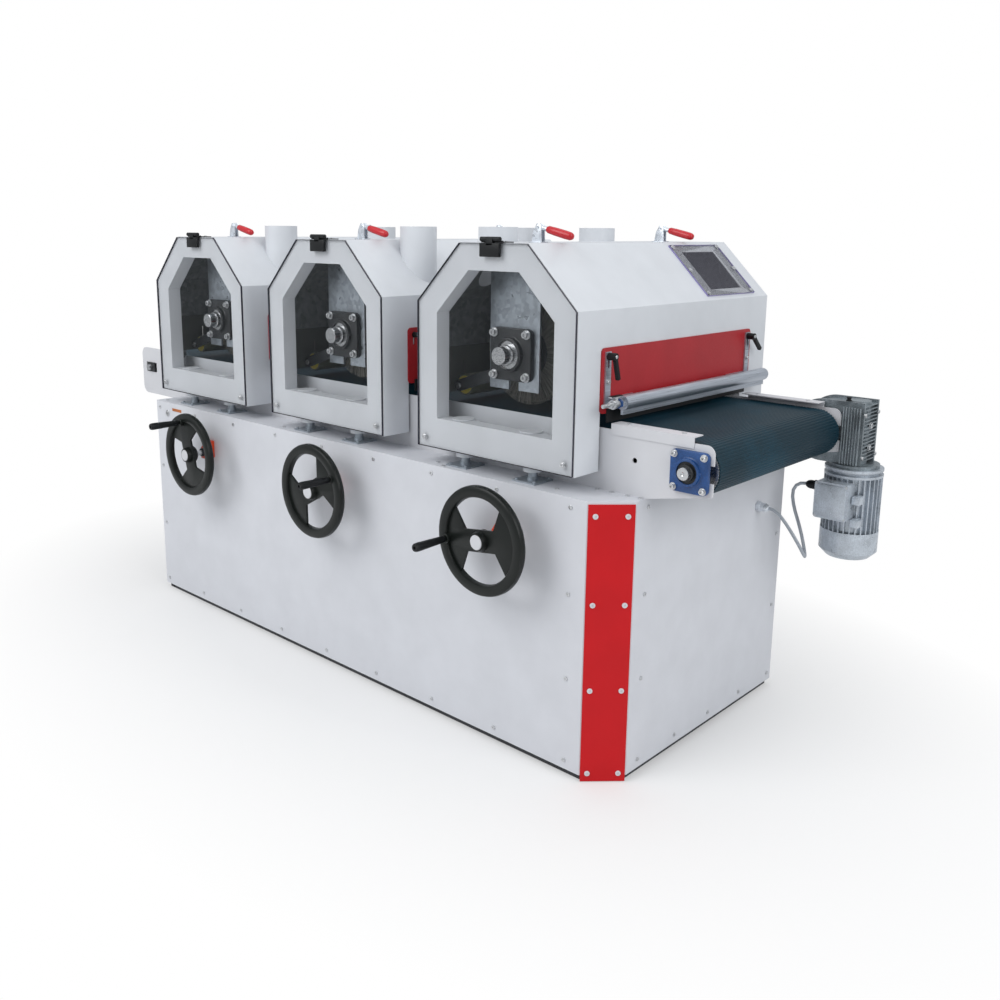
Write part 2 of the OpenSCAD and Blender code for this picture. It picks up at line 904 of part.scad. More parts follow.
// Finned motor hanging from the gearbox, with its terminal box and fan cover
module drive_motor() {
    color([0.7, 0.71, 0.73]) {
        difference() {
            union() {
                translate([gear_x, gear_y, motor_z0])
                    cylinder(r = motor_core_r, h = motor_l + neck_h);
                for (z = [motor_z1, gear_z0 - collar_up - shield_t])
                    translate([gear_x, gear_y, z])
                        cylinder(r = motor_r, h = shield_t);
                for (k = [0:fins - 1])
                    translate([gear_x, gear_y, motor_z0])
                        rotate([0, 0, k * 360 / fins])
                            translate([motor_core_r - over, -fin_t / 2, 0])
                                cube([motor_r - motor_core_r, fin_t, motor_l]);
                along_y(tbox_y0, gear_y - motor_core_r / 2 - tbox_y0)
                    translate([tbox_x, tbox_z])
                        round_rect(tbox_w - 2 * tbox_lip, tbox_h - 2 * tbox_lip, tbox_r);
                along_y(tbox_y0, tbox_d)
                    translate([tbox_x, tbox_z])
                        round_rect(tbox_w, tbox_h, tbox_r);
            }
            translate([gear_x, gear_y, motor_z0 - over])
                cylinder(r = fan_shaft_r + run_gap, h = fan_shaft_in + 2 * over);
        }
        fan_cowl();
    }
}

// Fan on the motor's shaft, inside its cover
module motor_fan() {
    color([0.12, 0.12, 0.13])
        translate([gear_x, gear_y, motor_z0 - fan_low]) {
            cylinder(r = fan_hub_r, h = fan_h);
            cylinder(r = fan_shaft_r, h = fan_low + fan_shaft_in);
            for (k = [0:fan_blades - 1])
                rotate([0, 0, k * 360 / fan_blades])
                    translate([fan_hub_r / 2, -cowl_t / 2, cowl_t])
                        cube([fan_r - fan_hub_r / 2, cowl_t, fan_h - 2 * cowl_t]);
        }
}

// Cable gland with its base at the origin, along +X
module gland() {
    rotate([0, 90, 0])
        difference() {
            union() {
                cylinder(r = gland_r, h = gland_nut_l, $fn = 6);
                cylinder(r = gland_nut_r, h = gland_l - gland_tip_l);
                translate([0, 0, gland_l - gland_tip_l])
                    cylinder(r1 = gland_nut_r, r2 = cable_r + cowl_t, h = gland_tip_l);
            }
            translate([0, 0, -over])
                cylinder(r = cable_r + free_gap, h = gland_l + 2 * over);
        }
}

// Glands at both ends of the motor's cable
module cable_glands() {
    color([0.08, 0.08, 0.09]) {
        translate([end_x, route_start[1], route_start[2]])
            gland();
        difference() {
            bar_x_dir(end_x - gland_nut_l, route_start[1], route_start[2], gland_nut_r - free_gap,
                gland_nut_l);
            bar_x_dir(end_x - gland_nut_l - over, route_start[1], route_start[2], cable_r + free_gap,
                gland_nut_l + 2 * over);
        }
        translate([tbox_x - tbox_w / 2, route_end[1], route_end[2]])
            mirror([1, 0, 0])
                gland();
    }
}

// Sweep of a round section along the cable's points
function unit(v) = v / norm(v);
function heading(k) = unit(route[min(k + 1, len(route) - 1)] - route[max(k - 1, 0)]);
function side_of(k) = unit(cross(heading(k), [1, -1, 0]));
function rise_of(k) = cross(side_of(k), heading(k));
function ring(k) = [
    for (j = [0:cable_sides - 1])
        let (turn = j * 360 / cable_sides)
            route[k] + cable_r * (cos(turn) * side_of(k) + sin(turn) * rise_of(k))
];
function wall(k, j) = let (a = k * cable_sides + j, b = k * cable_sides + (j + 1) % cable_sides)
    [[a, b, b + cable_sides], [a, b + cable_sides, a + cable_sides]];

// Cable from the cabinet to the motor's terminal box
module motor_cable() {
    n = len(route);
    first = [for (j = [0:cable_sides - 1]) cable_sides - 1 - j];
    last = [for (j = [0:cable_sides - 1]) (n - 1) * cable_sides + j];
    walls = [for (k = [0:n - 2], j = [0:cable_sides - 1]) each wall(k, j)];
    color([0.32, 0.33, 0.35])
        polyhedron(points = [for (k = [0:n - 1]) each ring(k)], faces = concat([first], walls, [last]));
}

// Guide post on a square flange that is bolted to the deck
module guide_post(x, y, half) {
    bolt_at = half - flange_bolt_r * 2;
    translate([x, y, deck_z]) {
        translate([-half, -half, 0])
            cube([2 * half, 2 * half, flange_t]);
        cylinder(r = collar_r, h = collar_h);
        cylinder(r = post_r, h = post_top - deck_z);
        for (sx = [-1, 1], sy = [-1, 1])
            translate([sx * bolt_at, sy * bolt_at, flange_t])
                cylinder(r = flange_bolt_r, h = flange_bolt_h, $fn = 6);
    }
}

// Guide posts of all heads
module lift_guides() {
    color([0.75, 0.76, 0.78])
        for (i = [1:3], s = [-1, 1]) {
            guide_post(head_x(i) + post_shift + s * post_half, post_y0, flange_r);
            guide_post(head_x(i) + post_shift + s * post_half, post_y1, rear_flange_r);
        }
}

// Position indicators round the handwheels' shafts
module indicators() {
    color([0.9, 0.42, 0.1])
        for (i = [1:3])
            difference() {
                along_x(head_x(i) + wheel_x - ind_w / 2, ind_w)
                    polygon([
                        [front_y, wheel_z - ind_low],
                        [front_y - ind_d, wheel_z - ind_low],
                        [front_y - ind_d, wheel_z + ind_high - ind_face],
                        [front_y - ind_d + ind_face, wheel_z + ind_high],
                        [front_y, wheel_z + ind_high]
                    ]);
                bar_y(head_x(i) + wheel_x, front_y - ind_d - over, wheel_z, wheel_shaft_r + run_gap,
                    ind_d + 2 * over);
            }
}

// Upright tubes at the four guide posts
module sleeves(r0, r1, z0, z1) {
    for (s = [-1, 1]) {
        translate([post_shift + s * post_half, post_y0, z0])
            cylinder(r = r0, h = z1 - z0);
        translate([post_shift + s * post_half, post_y1, z0])
            cylinder(r = r1, h = z1 - z0);
    }
}

// Upright tubes at the two exhaust spigots
module spigots(side, r, z0, z1) {
    for (y = [-spigot_front, spigot_rear])
        translate([side * spigot_x, y, z0])
            cylinder(r = r, h = z1 - z0, $fn = 96);
}

// Places its children at the middle of the right slope, with Z square to it
module on_slope() {
    translate([(hood_w + hood_top_w) / 2, view_y, (shoulder_z + roof_z) / 2])
        rotate([0, 45, 0])
            children();
}

// Folded hood with end boxes that reach down beside the belt
module hood(i) {
    color([0.86, 0.87, 0.9])
        translate([head_x(i), 0, 0])
            difference() {
                union() {
                    difference() {
                        union() {
                            along_y(hood_y0, hood_y1 - hood_y0)
                                hood_outline(0, 0);
                            spigots(spigot_side(i), spigot_r, slope_low, roof_z + spigot_up);
                        }
                        along_y(hood_y0 + hood_t, hood_y1 - hood_y0 - 2 * hood_t)
                            hood_outline(hood_t, hood_t);
                    }
                    for (y = [box_y0 - hood_t, box_y1])
                        translate([-hood_w, y, hood_z0])
                            cube([2 * hood_w, hood_t, wall_z - hood_z0]);
                    along_y(hood_y0, frame_return)
                        difference() {
                            hood_outline(frame_side - hood_t, frame_base - hood_t);
                            hood_outline(frame_side, frame_base);
                        }
                    sleeves(sleeve_r, rear_sleeve_r, sleeve_z0, sleeve_top);
                    sleeves(cap_r, rear_sleeve_r, sleeve_top, sleeve_top + cap_t);
                }
                translate([-hood_w - over, box_y0, hood_z0 - over])
                    cube([2 * (hood_w + over), box_y1 - box_y0, pass_z - hood_z0 + over]);
                along_y(hood_y0 - over, hood_t + 2 * over)
                    hood_outline(frame_side, frame_base);
                sleeves(post_r + free_gap, post_r + free_gap, sleeve_z0 - over, sleeve_top);
                spigots(spigot_side(i), spigot_r - spigot_t, slope_low - over, roof_z + spigot_up + over);
                if (i == 3)
                    on_slope()
                        cube([view_w, view_l, 4 * hood_t], center = true);
            }
}

// Clear plate over the opening in the third hood's slope
module inspection_pane() {
    color([0.8, 0.85, 0.95, 0.4])
        translate([head_x(3), 0, 0])
            on_slope()
                translate([-view_w / 2 - view_side, -view_l / 2 - view_end, 0])
                    cube([view_w + 2 * view_side, view_l + 2 * view_end, pane_t]);
}

// Plate that hangs from the roof and holds the brush's bearing
module carrier_plate(y, foot_y) {
    along_y(y, carrier_t)
        difference() {
            translate([brush_x - carrier_w / 2, brush_z - carrier_down])
                square([carrier_w, roof_in - brush_z + carrier_down]);
            translate([brush_x, brush_z])
                circle(r = carrier_hole_r);
            translate([brush_x - carrier_slot_w / 2, brush_z - carrier_down - over])
                square([carrier_slot_w, carrier_slot_h + over]);
        }
    translate([brush_x - carrier_w / 2, foot_y, roof_in - carrier_t])
        cube([carrier_w, carrier_foot, carrier_t]);
}

// Arm from a carrier plate down to the press roller's journal
module press_arm(y) {
    run = press_x - arm_root_x;
    drop = press_z - arm_root_z;
    difference() {
        along_y(y, arm_t) {
            translate([arm_root_x, arm_root_z]) {
                circle(r = arm_end_r);
                rotate([0, 0, atan2(drop, run)])
                    translate([0, -arm_w / 2])
                        square([norm([run, drop]), arm_w]);
            }
            translate([press_x, press_z])
                circle(r = arm_end_r);
        }
        bar_y(press_x, y - over, press_z, press_shaft_r + run_gap, arm_t + 2 * over);
    }
}

// Plates, bearings and arms that carry a brush and its press roller
module brush_carrier(i) {
    color([0.55, 0.57, 0.58])
        translate([head_x(i), 0, 0]) {
            carrier_plate(carrier_y0, carrier_y0);
            carrier_plate(carrier_y1 - carrier_t, carrier_y1 - carrier_foot);
            press_arm(arm_y0);
            press_arm(2 * conv_y - arm_y0 - arm_t);
            translate([brush_x, carrier_y0, brush_z])
                flange_bearing(brush_flange_s, brush_flange_pitch, brush_shaft_r);
            translate([brush_x, carrier_y1, brush_z])
                rotate([0, 0, 180])
                    flange_bearing(brush_flange_s, brush_flange_pitch, brush_shaft_r);
        }
}

// Brush drum with a row of strands at its front end, on a shaft with a belt pulley
module brush(i) {
    pulley_y = carrier_y1 + brush_flange_s * (cast_t_share + insert_up_share) + pulley_lip;
    color([0.74, 0.62, 0.36])
        translate([head_x(i) + brush_x, 0, brush_z]) {
            bar_y(0, brush_y0 + strand_t, 0, brush_body_r, brush_y1 - brush_y0 - strand_t);
            bar_y(0, brush_y0, 0, brush_core_r, strand_t + over);
            for (k = [0:strands - 1])
                rotate([0, k * 360 / strands, 0])
                    translate([brush_core_r - over, brush_y0, -strand_w / 2])
                        cube([brush_r - brush_core_r + over, strand_t + over, strand_w]);
            bar_y(0, carrier_y0 - brush_stub, 0, brush_shaft_r,
                brush_stub + pulley_y + pulley_w - carrier_y0);
            bar_y(0, pulley_y, 0, pulley_r, pulley_w);
        }
}

// Press roller ahead of a brush
module press_roller(i) {
    color([0.85, 0.68, 0.15])
        translate([head_x(i) + press_x, 0, press_z]) {
            bar_y(0, press_y0, 0, press_r, 2 * (conv_y - press_y0));
            bar_y(0, arm_y0 - pulley_lip, 0, press_shaft_r, 2 * (conv_y - arm_y0 + pulley_lip));
        }
}

// Clear pane in front of a hood
module window(i) {
    color([0.8, 0.87, 0.95, 0.35])
        translate([head_x(i), 0, 0])
            along_y(pane_y0, pane_t)
                hood_outline(pane_inset, pane_inset);
}

// Seal, screws and hinge leaf on a pane
module window_fittings(i) {
    color([0.1, 0.1, 0.11])
        translate([head_x(i), 0, 0]) {
            along_y(pane_y1, seal_t)
                difference() {
                    hood_outline(pane_inset, pane_inset);
                    hood_outline(pane_inset + seal_w, pane_inset + seal_w);
                }
            for (s = [-1, 1])
                bar_y(s * pane_screw_x, pane_y0 - pane_screw_h, pane_screw_z, pane_screw_r, pane_screw_h);
            translate([-hinge_w / 2, pane_y0 - leaf_t, leaf_top - leaf_h])
                cube([hinge_w, leaf_t, leaf_h]);
            translate([-knuckle_w / 2, pane_y0 - leaf_t, leaf_top - knuckle_r])
                cube([knuckle_w, leaf_t - free_gap, hinge_z - leaf_top]);
            difference() {
                bar_x_dir(-knuckle_w / 2, hinge_y, hinge_z, knuckle_r, knuckle_w);
                bar_x_dir(-knuckle_w / 2 - over, hinge_y, hinge_z, hinge_pin_r + run_gap,
                    knuckle_w + 2 * over);
            }
        }
}

// Bracket of a toggle clamp, with its pivot pin
module toggle_bracket(y) {
    for (s = [-1, 1])
        translate([toggle_x - cheek_w / 2, y + s * (cheek_gap + cheek_t) / 2 - cheek_t / 2, roof_z])
            cube([cheek_w, cheek_t, cheek_h]);
    translate([toggle_x - cheek_w / 2, y - cheek_gap, roof_z])
        cube([cheek_w, 2 * cheek_gap, cheek_t]);
    bar_y(toggle_pin_x, y - cheek_gap, toggle_pin_z, toggle_pin_r, 2 * cheek_gap);
}

// Fixed hinge leaf, toggle brackets and guard studs of a hood
module roof_fittings(i) {
    stud_l = slab_t + 2 * free_gap + (i == 3 ? bracket_t + lever_hub_h : washer_t + knob_h);
    outer = (hinge_w - knuckle_w) / 2 - free_gap;
    color([0.2, 0.21, 0.22])
        translate([head_x(i), 0, 0]) {
            translate([-hinge_w / 2, hood_y0, roof_z])
                cube([hinge_w, hinge_leaf_l, hinge_leaf_t]);
            for (x = [-hinge_w / 2, hinge_w / 2 - outer]) {
                bar_x_dir(x, hinge_y, hinge_z, knuckle_r, outer);
                translate([x, hinge_y, roof_z])
                    cube([outer, hood_y0 - hinge_y + over, hinge_leaf_t + knuckle_r / 2]);
            }
            bar_x_dir(-hinge_w / 2, hinge_y, hinge_z, hinge_pin_r, hinge_w);
            for (y = [toggle_front_y, rear_toggle_y(i)])
                toggle_bracket(y);
            for (s = [-1, 1]) {
                bar_x_dir(hood_w, slab_y + s * stud_y, stud_z, stud_r, stud_l);
                if (i < 3) {
                    bar_x_dir(hood_w + slab_t + 2 * free_gap, slab_y + s * stud_y, stud_z, washer_r,
                        washer_t);
                    bar_x_dir(hood_w + slab_t + 2 * free_gap, slab_y + s * stud_y, stud_z, knob_r,
                        washer_t + knob_h);
                }
            }
        }
}

// Lever and grip of a toggle clamp
module toggle(i, y) {
    color([0.75, 0.08, 0.1])
        translate([head_x(i) + toggle_pin_x, y, toggle_pin_z])
            rotate([0, toggle_drop, 0])
                difference() {
                    union() {
                        bar_y(0, -arm_bar_t / 2, 0, toggle_hub_r, arm_bar_t);
                        translate([0, -arm_bar_t / 2, -arm_bar_w / 2])
                            cube([arm_bar_l + over, arm_bar_t, arm_bar_w]);
                        bar_x_dir(arm_bar_l, 0, 0, toggle_grip_r, toggle_grip_l);
                    }
                    bar_y(0, -arm_bar_t, 0, toggle_pin_r + run_gap, 2 * arm_bar_t);
                }
}

// Upright slot that lets a guard slide past its stud
module stud_slot(y) {
    for (z = [stud_z - slab_travel, stud_z])
        translate([y, z])
            circle(r = slot_r);
    translate([y - slot_r, stud_z - slab_travel])
        square([2 * slot_r, slab_travel]);
}

// Height guard on the outfeed side of a hood, with a strip along its foot
module guard_plate(i) {
    color([0.78, 0.08, 0.12])
        translate([head_x(i), 0, 0]) {
            along_x(slab_x0, slab_t)
                difference() {
                    translate([slab_y, slab_z0 + slab_h / 2])
                        round_rect(slab_l, slab_h, slab_r);
                    for (s = [-1, 1])
                        stud_slot(slab_y + s * stud_y);
                }
            translate([slab_x0 + slab_t, slab_y - slab_l / 2 + 2 * slab_r, slab_z0 - flap_up])
                cube([flap_t, slab_l - 4 * slab_r, flap_h]);
        }
}

// Bracket from a guard's stud down to the blow bar
module bar_bracket(s) {
    y = slab_y + s * stud_y;
    foot_z = bar_z - bracket_w / 2;
    along_x(slab_x0 + slab_t, bracket_t)
        difference() {
            union() {
                translate([y - bracket_w / 2, foot_z])
                    square([bracket_w, stud_z + bracket_w / 2 - foot_z]);
                translate([s < 0 ? y : y - bracket_foot, foot_z])
                    square([bracket_foot, bracket_w]);
            }
            stud_slot(y);
        }
    for (k = [2, 4])
        translate([slab_x0 + slab_t, y - s * k * bracket_w - bracket_w / 2, bar_z - bracket_w / 4])
            cube([bar_x - slab_x0 - slab_t, bracket_w, bracket_w / 2]);
}

// Blow bar with its nozzle strip and brackets
module blow_bar() {
    color([0.6, 0.62, 0.64])
        translate([head_x(3), 0, 0]) {
            bar_y(bar_x, bar_y0, bar_z, bar_r, bar_l);
            translate([bar_x - lip_t / 2, bar_y0, bar_z - bar_r - lip_h])
                cube([lip_t, bar_l, lip_h + bar_r]);
            for (s = [-1, 1])
                bar_bracket(s);
        }
}

// Shut-off valve at the blow bar's end, with a plain tail for a hose
module air_valve() {
    color([0.7, 0.6, 0.3])
        translate([head_x(3), 0, 0]) {
            bar_y(bar_x, bar_y0 - valve_l, bar_z, valve_r, valve_l);
            bar_y(bar_x, bar_y0 - valve_l * valve_nut_share, bar_z, valve_r + lip_t / 2, valve_r);
            bar_y(bar_x, bar_y0 - valve_l - barb_l, bar_z, barb_r, barb_l);
            translate([bar_x, bar_y0 - valve_l / 2, bar_z])
                cylinder(r = barb_r, h = 2 * valve_r);
            translate([bar_x - barb_r, bar_y0 - valve_l, bar_z + 2 * valve_r])
                cube([2 * barb_r, valve_l * valve_nut_share, lip_t / 2]);
        }
}

// Clamping lever on a stud, turned by an angle from hanging straight down
module clamp_lever(s, turn) {
    color([0.1, 0.1, 0.11])
        translate([head_x(3) + slab_x0 + slab_t + bracket_t + free_gap, slab_y + s * stud_y, stud_z])
            rotate([turn, 0, 0])
                difference() {
                    union() {
                        bar_x_dir(0, 0, 0, lever_hub_r, lever_hub_h);
                        translate([lever_hub_h - lever_w, -lever_w / 2, -lever_l])
                            cube([lever_w, lever_w, lever_l]);
                    }
                    bar_x_dir(-over, 0, 0, stud_r + run_gap, lever_hub_h + 2 * over);
                }
}

// Disc handwheel with two windows, its shaft and the pin of its grip
module handwheel(i) {
    rim_at = (wheel_d - rim_d) / 2;
    color([0.09, 0.09, 0.1])
        translate([head_x(i) + wheel_x, wheel_y, wheel_z])
            rotate([0, -wheel_angles[i - 1], 0]) {
                rotate([90, 0, 0])
                    rotate_extrude($fn = 96)
                        translate([rim_at, 0])
                            circle(r = rim_d / 2, $fn = 32);
                along_y(-web_t / 2, web_t)
                    difference() {
                        circle(r = rim_at, $fn = 96);
                        difference() {
                            circle(r = wheel_d / 2 * window_r_share, $fn = 96);
                            square([wheel_d, wheel_d * window_near_share], center = true);
                        }
                    }
                bar_y(0, -hub_l / 2, 0, hub_r, hub_l);
                bar_y(0, -hub_l / 2 - hub_cap_t, 0, hub_cap_r, hub_cap_t);
                bar_y(0, 0, 0, wheel_shaft_r, wheel_out + wheel_shaft_in);
                bar_y(grip_at, -web_t / 2 - grip_boss_h, 0, grip_boss_r, grip_boss_h);
                bar_y(grip_at, -web_t / 2 - grip_boss_h - grip_l + grip_pin_r, 0, grip_pin_r, grip_l);
            }
}

// Revolving grip on a handwheel's pin
module wheel_grip(i) {
    color([0.09, 0.09, 0.1])
        translate([head_x(i) + wheel_x, wheel_y, wheel_z])
            rotate([0, -wheel_angles[i - 1], 0])
                translate([grip_at, -web_t / 2 - grip_boss_h - free_gap, 0])
                    rotate([90, 0, 0])
                        difference() {
                            union() {
                                cylinder(r1 = grip_r * grip_neck_share, r2 = grip_r,
                                    h = grip_l * grip_bulge_share);
                                translate([0, 0, grip_l * grip_bulge_share])
                                    cylinder(r1 = grip_r, r2 = grip_r * grip_neck_share,
                                        h = grip_l * (1 - grip_bulge_share));
                            }
                            translate([0, 0, -over])
                                cylinder(r = grip_pin_r + run_gap, h = grip_l);
                        }
}

plinth();
front_panel();
side_panels();
top_deck();
corner_plate();
side_plates();
edge_guards();
conveyor_bed();
belt();
roller_bearings();
drive_roller();
idler_roller();
worm_gearbox();
drive_motor();
motor_fan();
cable_glands();
motor_cable();
lift_guides();
indicators();
hood(1);  // hood_1
hood(2);  // hood_2
hood(3);  // hood_3
brush_carrier(1);  // brush_carrier_1
brush_carrier(2);  // brush_carrier_2
brush_carrier(3);  // brush_carrier_3
roof_fittings(1);  // roof_fittings_1
roof_fittings(2);  // roof_fittings_2
roof_fittings(3);  // roof_fittings_3
window(1);  // window_1
window(2);  // window_2
window(3);  // window_3
window_fittings(1);  // window_fittings_1
window_fittings(2);  // window_fittings_2
window_fittings(3);  // window_fittings_3
brush(1);  // brush_1
brush(2);  // brush_2
brush(3);  // brush_3
press_roller(1);  // press_roller_1
press_roller(2);  // press_roller_2
press_roller(3);  // press_roller_3
guard_plate(1);  // guard_plate_1
guard_plate(2);  // guard_plate_2
guard_plate(3);  // guard_plate_3
toggle(1, toggle_front_y);  // toggle_front_1
toggle(2, toggle_front_y);  // toggle_front_2
toggle(3, toggle_front_y);  // toggle_front_3
toggle(1, rear_toggle_y(1));  // toggle_rear_1
toggle(2, rear_toggle_y(2));  // toggle_rear_2
toggle(3, rear_toggle_y(3));  // toggle_rear_3
handwheel(1);  // handwheel_1
handwheel(2);  // handwheel_2
handwheel(3);  // handwheel_3
wheel_grip(1);  // wheel_grip_1
wheel_grip(2);  // wheel_grip_2
wheel_grip(3);  // wheel_grip_3
inspection_pane();
blow_bar();
air_valve();
clamp_lever(-1, lever_turn_front);  // clamp_lever_front
clamp_lever(1, lever_turn_rear);  // clamp_lever_rear
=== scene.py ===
"""Panel sander: finishes, fine pieces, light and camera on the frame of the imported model.

Lengths are in millimetres until they reach a bpy call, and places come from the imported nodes.
"""

import logging
import math
from collections.abc import Callable, Sequence
from dataclasses import dataclass, field
from enum import Enum

import bpy
from mathutils import Matrix, Vector


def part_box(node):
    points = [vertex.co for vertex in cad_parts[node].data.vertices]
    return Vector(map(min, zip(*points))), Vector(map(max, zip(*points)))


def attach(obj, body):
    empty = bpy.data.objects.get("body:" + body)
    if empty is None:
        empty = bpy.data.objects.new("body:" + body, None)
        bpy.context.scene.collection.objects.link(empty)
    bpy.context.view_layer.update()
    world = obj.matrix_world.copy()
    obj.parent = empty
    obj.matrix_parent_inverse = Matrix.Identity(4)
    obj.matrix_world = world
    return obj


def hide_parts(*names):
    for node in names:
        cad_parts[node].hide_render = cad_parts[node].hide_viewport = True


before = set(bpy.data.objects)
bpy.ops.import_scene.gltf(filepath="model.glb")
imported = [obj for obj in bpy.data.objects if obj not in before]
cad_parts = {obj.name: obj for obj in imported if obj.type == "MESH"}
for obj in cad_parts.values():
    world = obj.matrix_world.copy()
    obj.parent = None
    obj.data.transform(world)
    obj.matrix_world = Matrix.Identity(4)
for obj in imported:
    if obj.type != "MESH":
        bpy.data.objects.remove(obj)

log = logging.getLogger("panel_sander")
MM = 0.001
UP = Vector((0.0, 0.0, 1.0))
Point = tuple[float, float, float]
Pair = tuple[float, float]
ORIGIN: Point = (0.0, 0.0, 0.0)
OVERRUN = 5.0
Piece = bpy.types.Object
Socket = bpy.types.NodeSocket


class Axis(Enum):
    """Directions that pieces are drawn out along."""

    X = (1.0, 0.0, 0.0)
    Y = (0.0, 1.0, 0.0)
    Z = (0.0, 0.0, 1.0)
    BACK_X = (-1.0, 0.0, 0.0)
    BACK_Y = (0.0, -1.0, 0.0)


Direction = Axis | Vector


@dataclass(frozen=True)
class Extent:
    """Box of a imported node, in millimetres.

    Args:
        lo: Lowest corner.
        hi: Highest corner.
    """

    lo: Vector
    hi: Vector

    @classmethod
    def of(cls, node: str) -> "Extent":
        """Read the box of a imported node."""
        lo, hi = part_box(node)
        return cls(Vector(lo) / MM, Vector(hi) / MM)

    @property
    def middle(self) -> Vector:
        """Centre of the box."""
        return (self.lo + self.hi) / 2

    @property
    def size(self) -> Vector:
        """Lengths of the box's sides."""
        return self.hi - self.lo


# Modelling steps


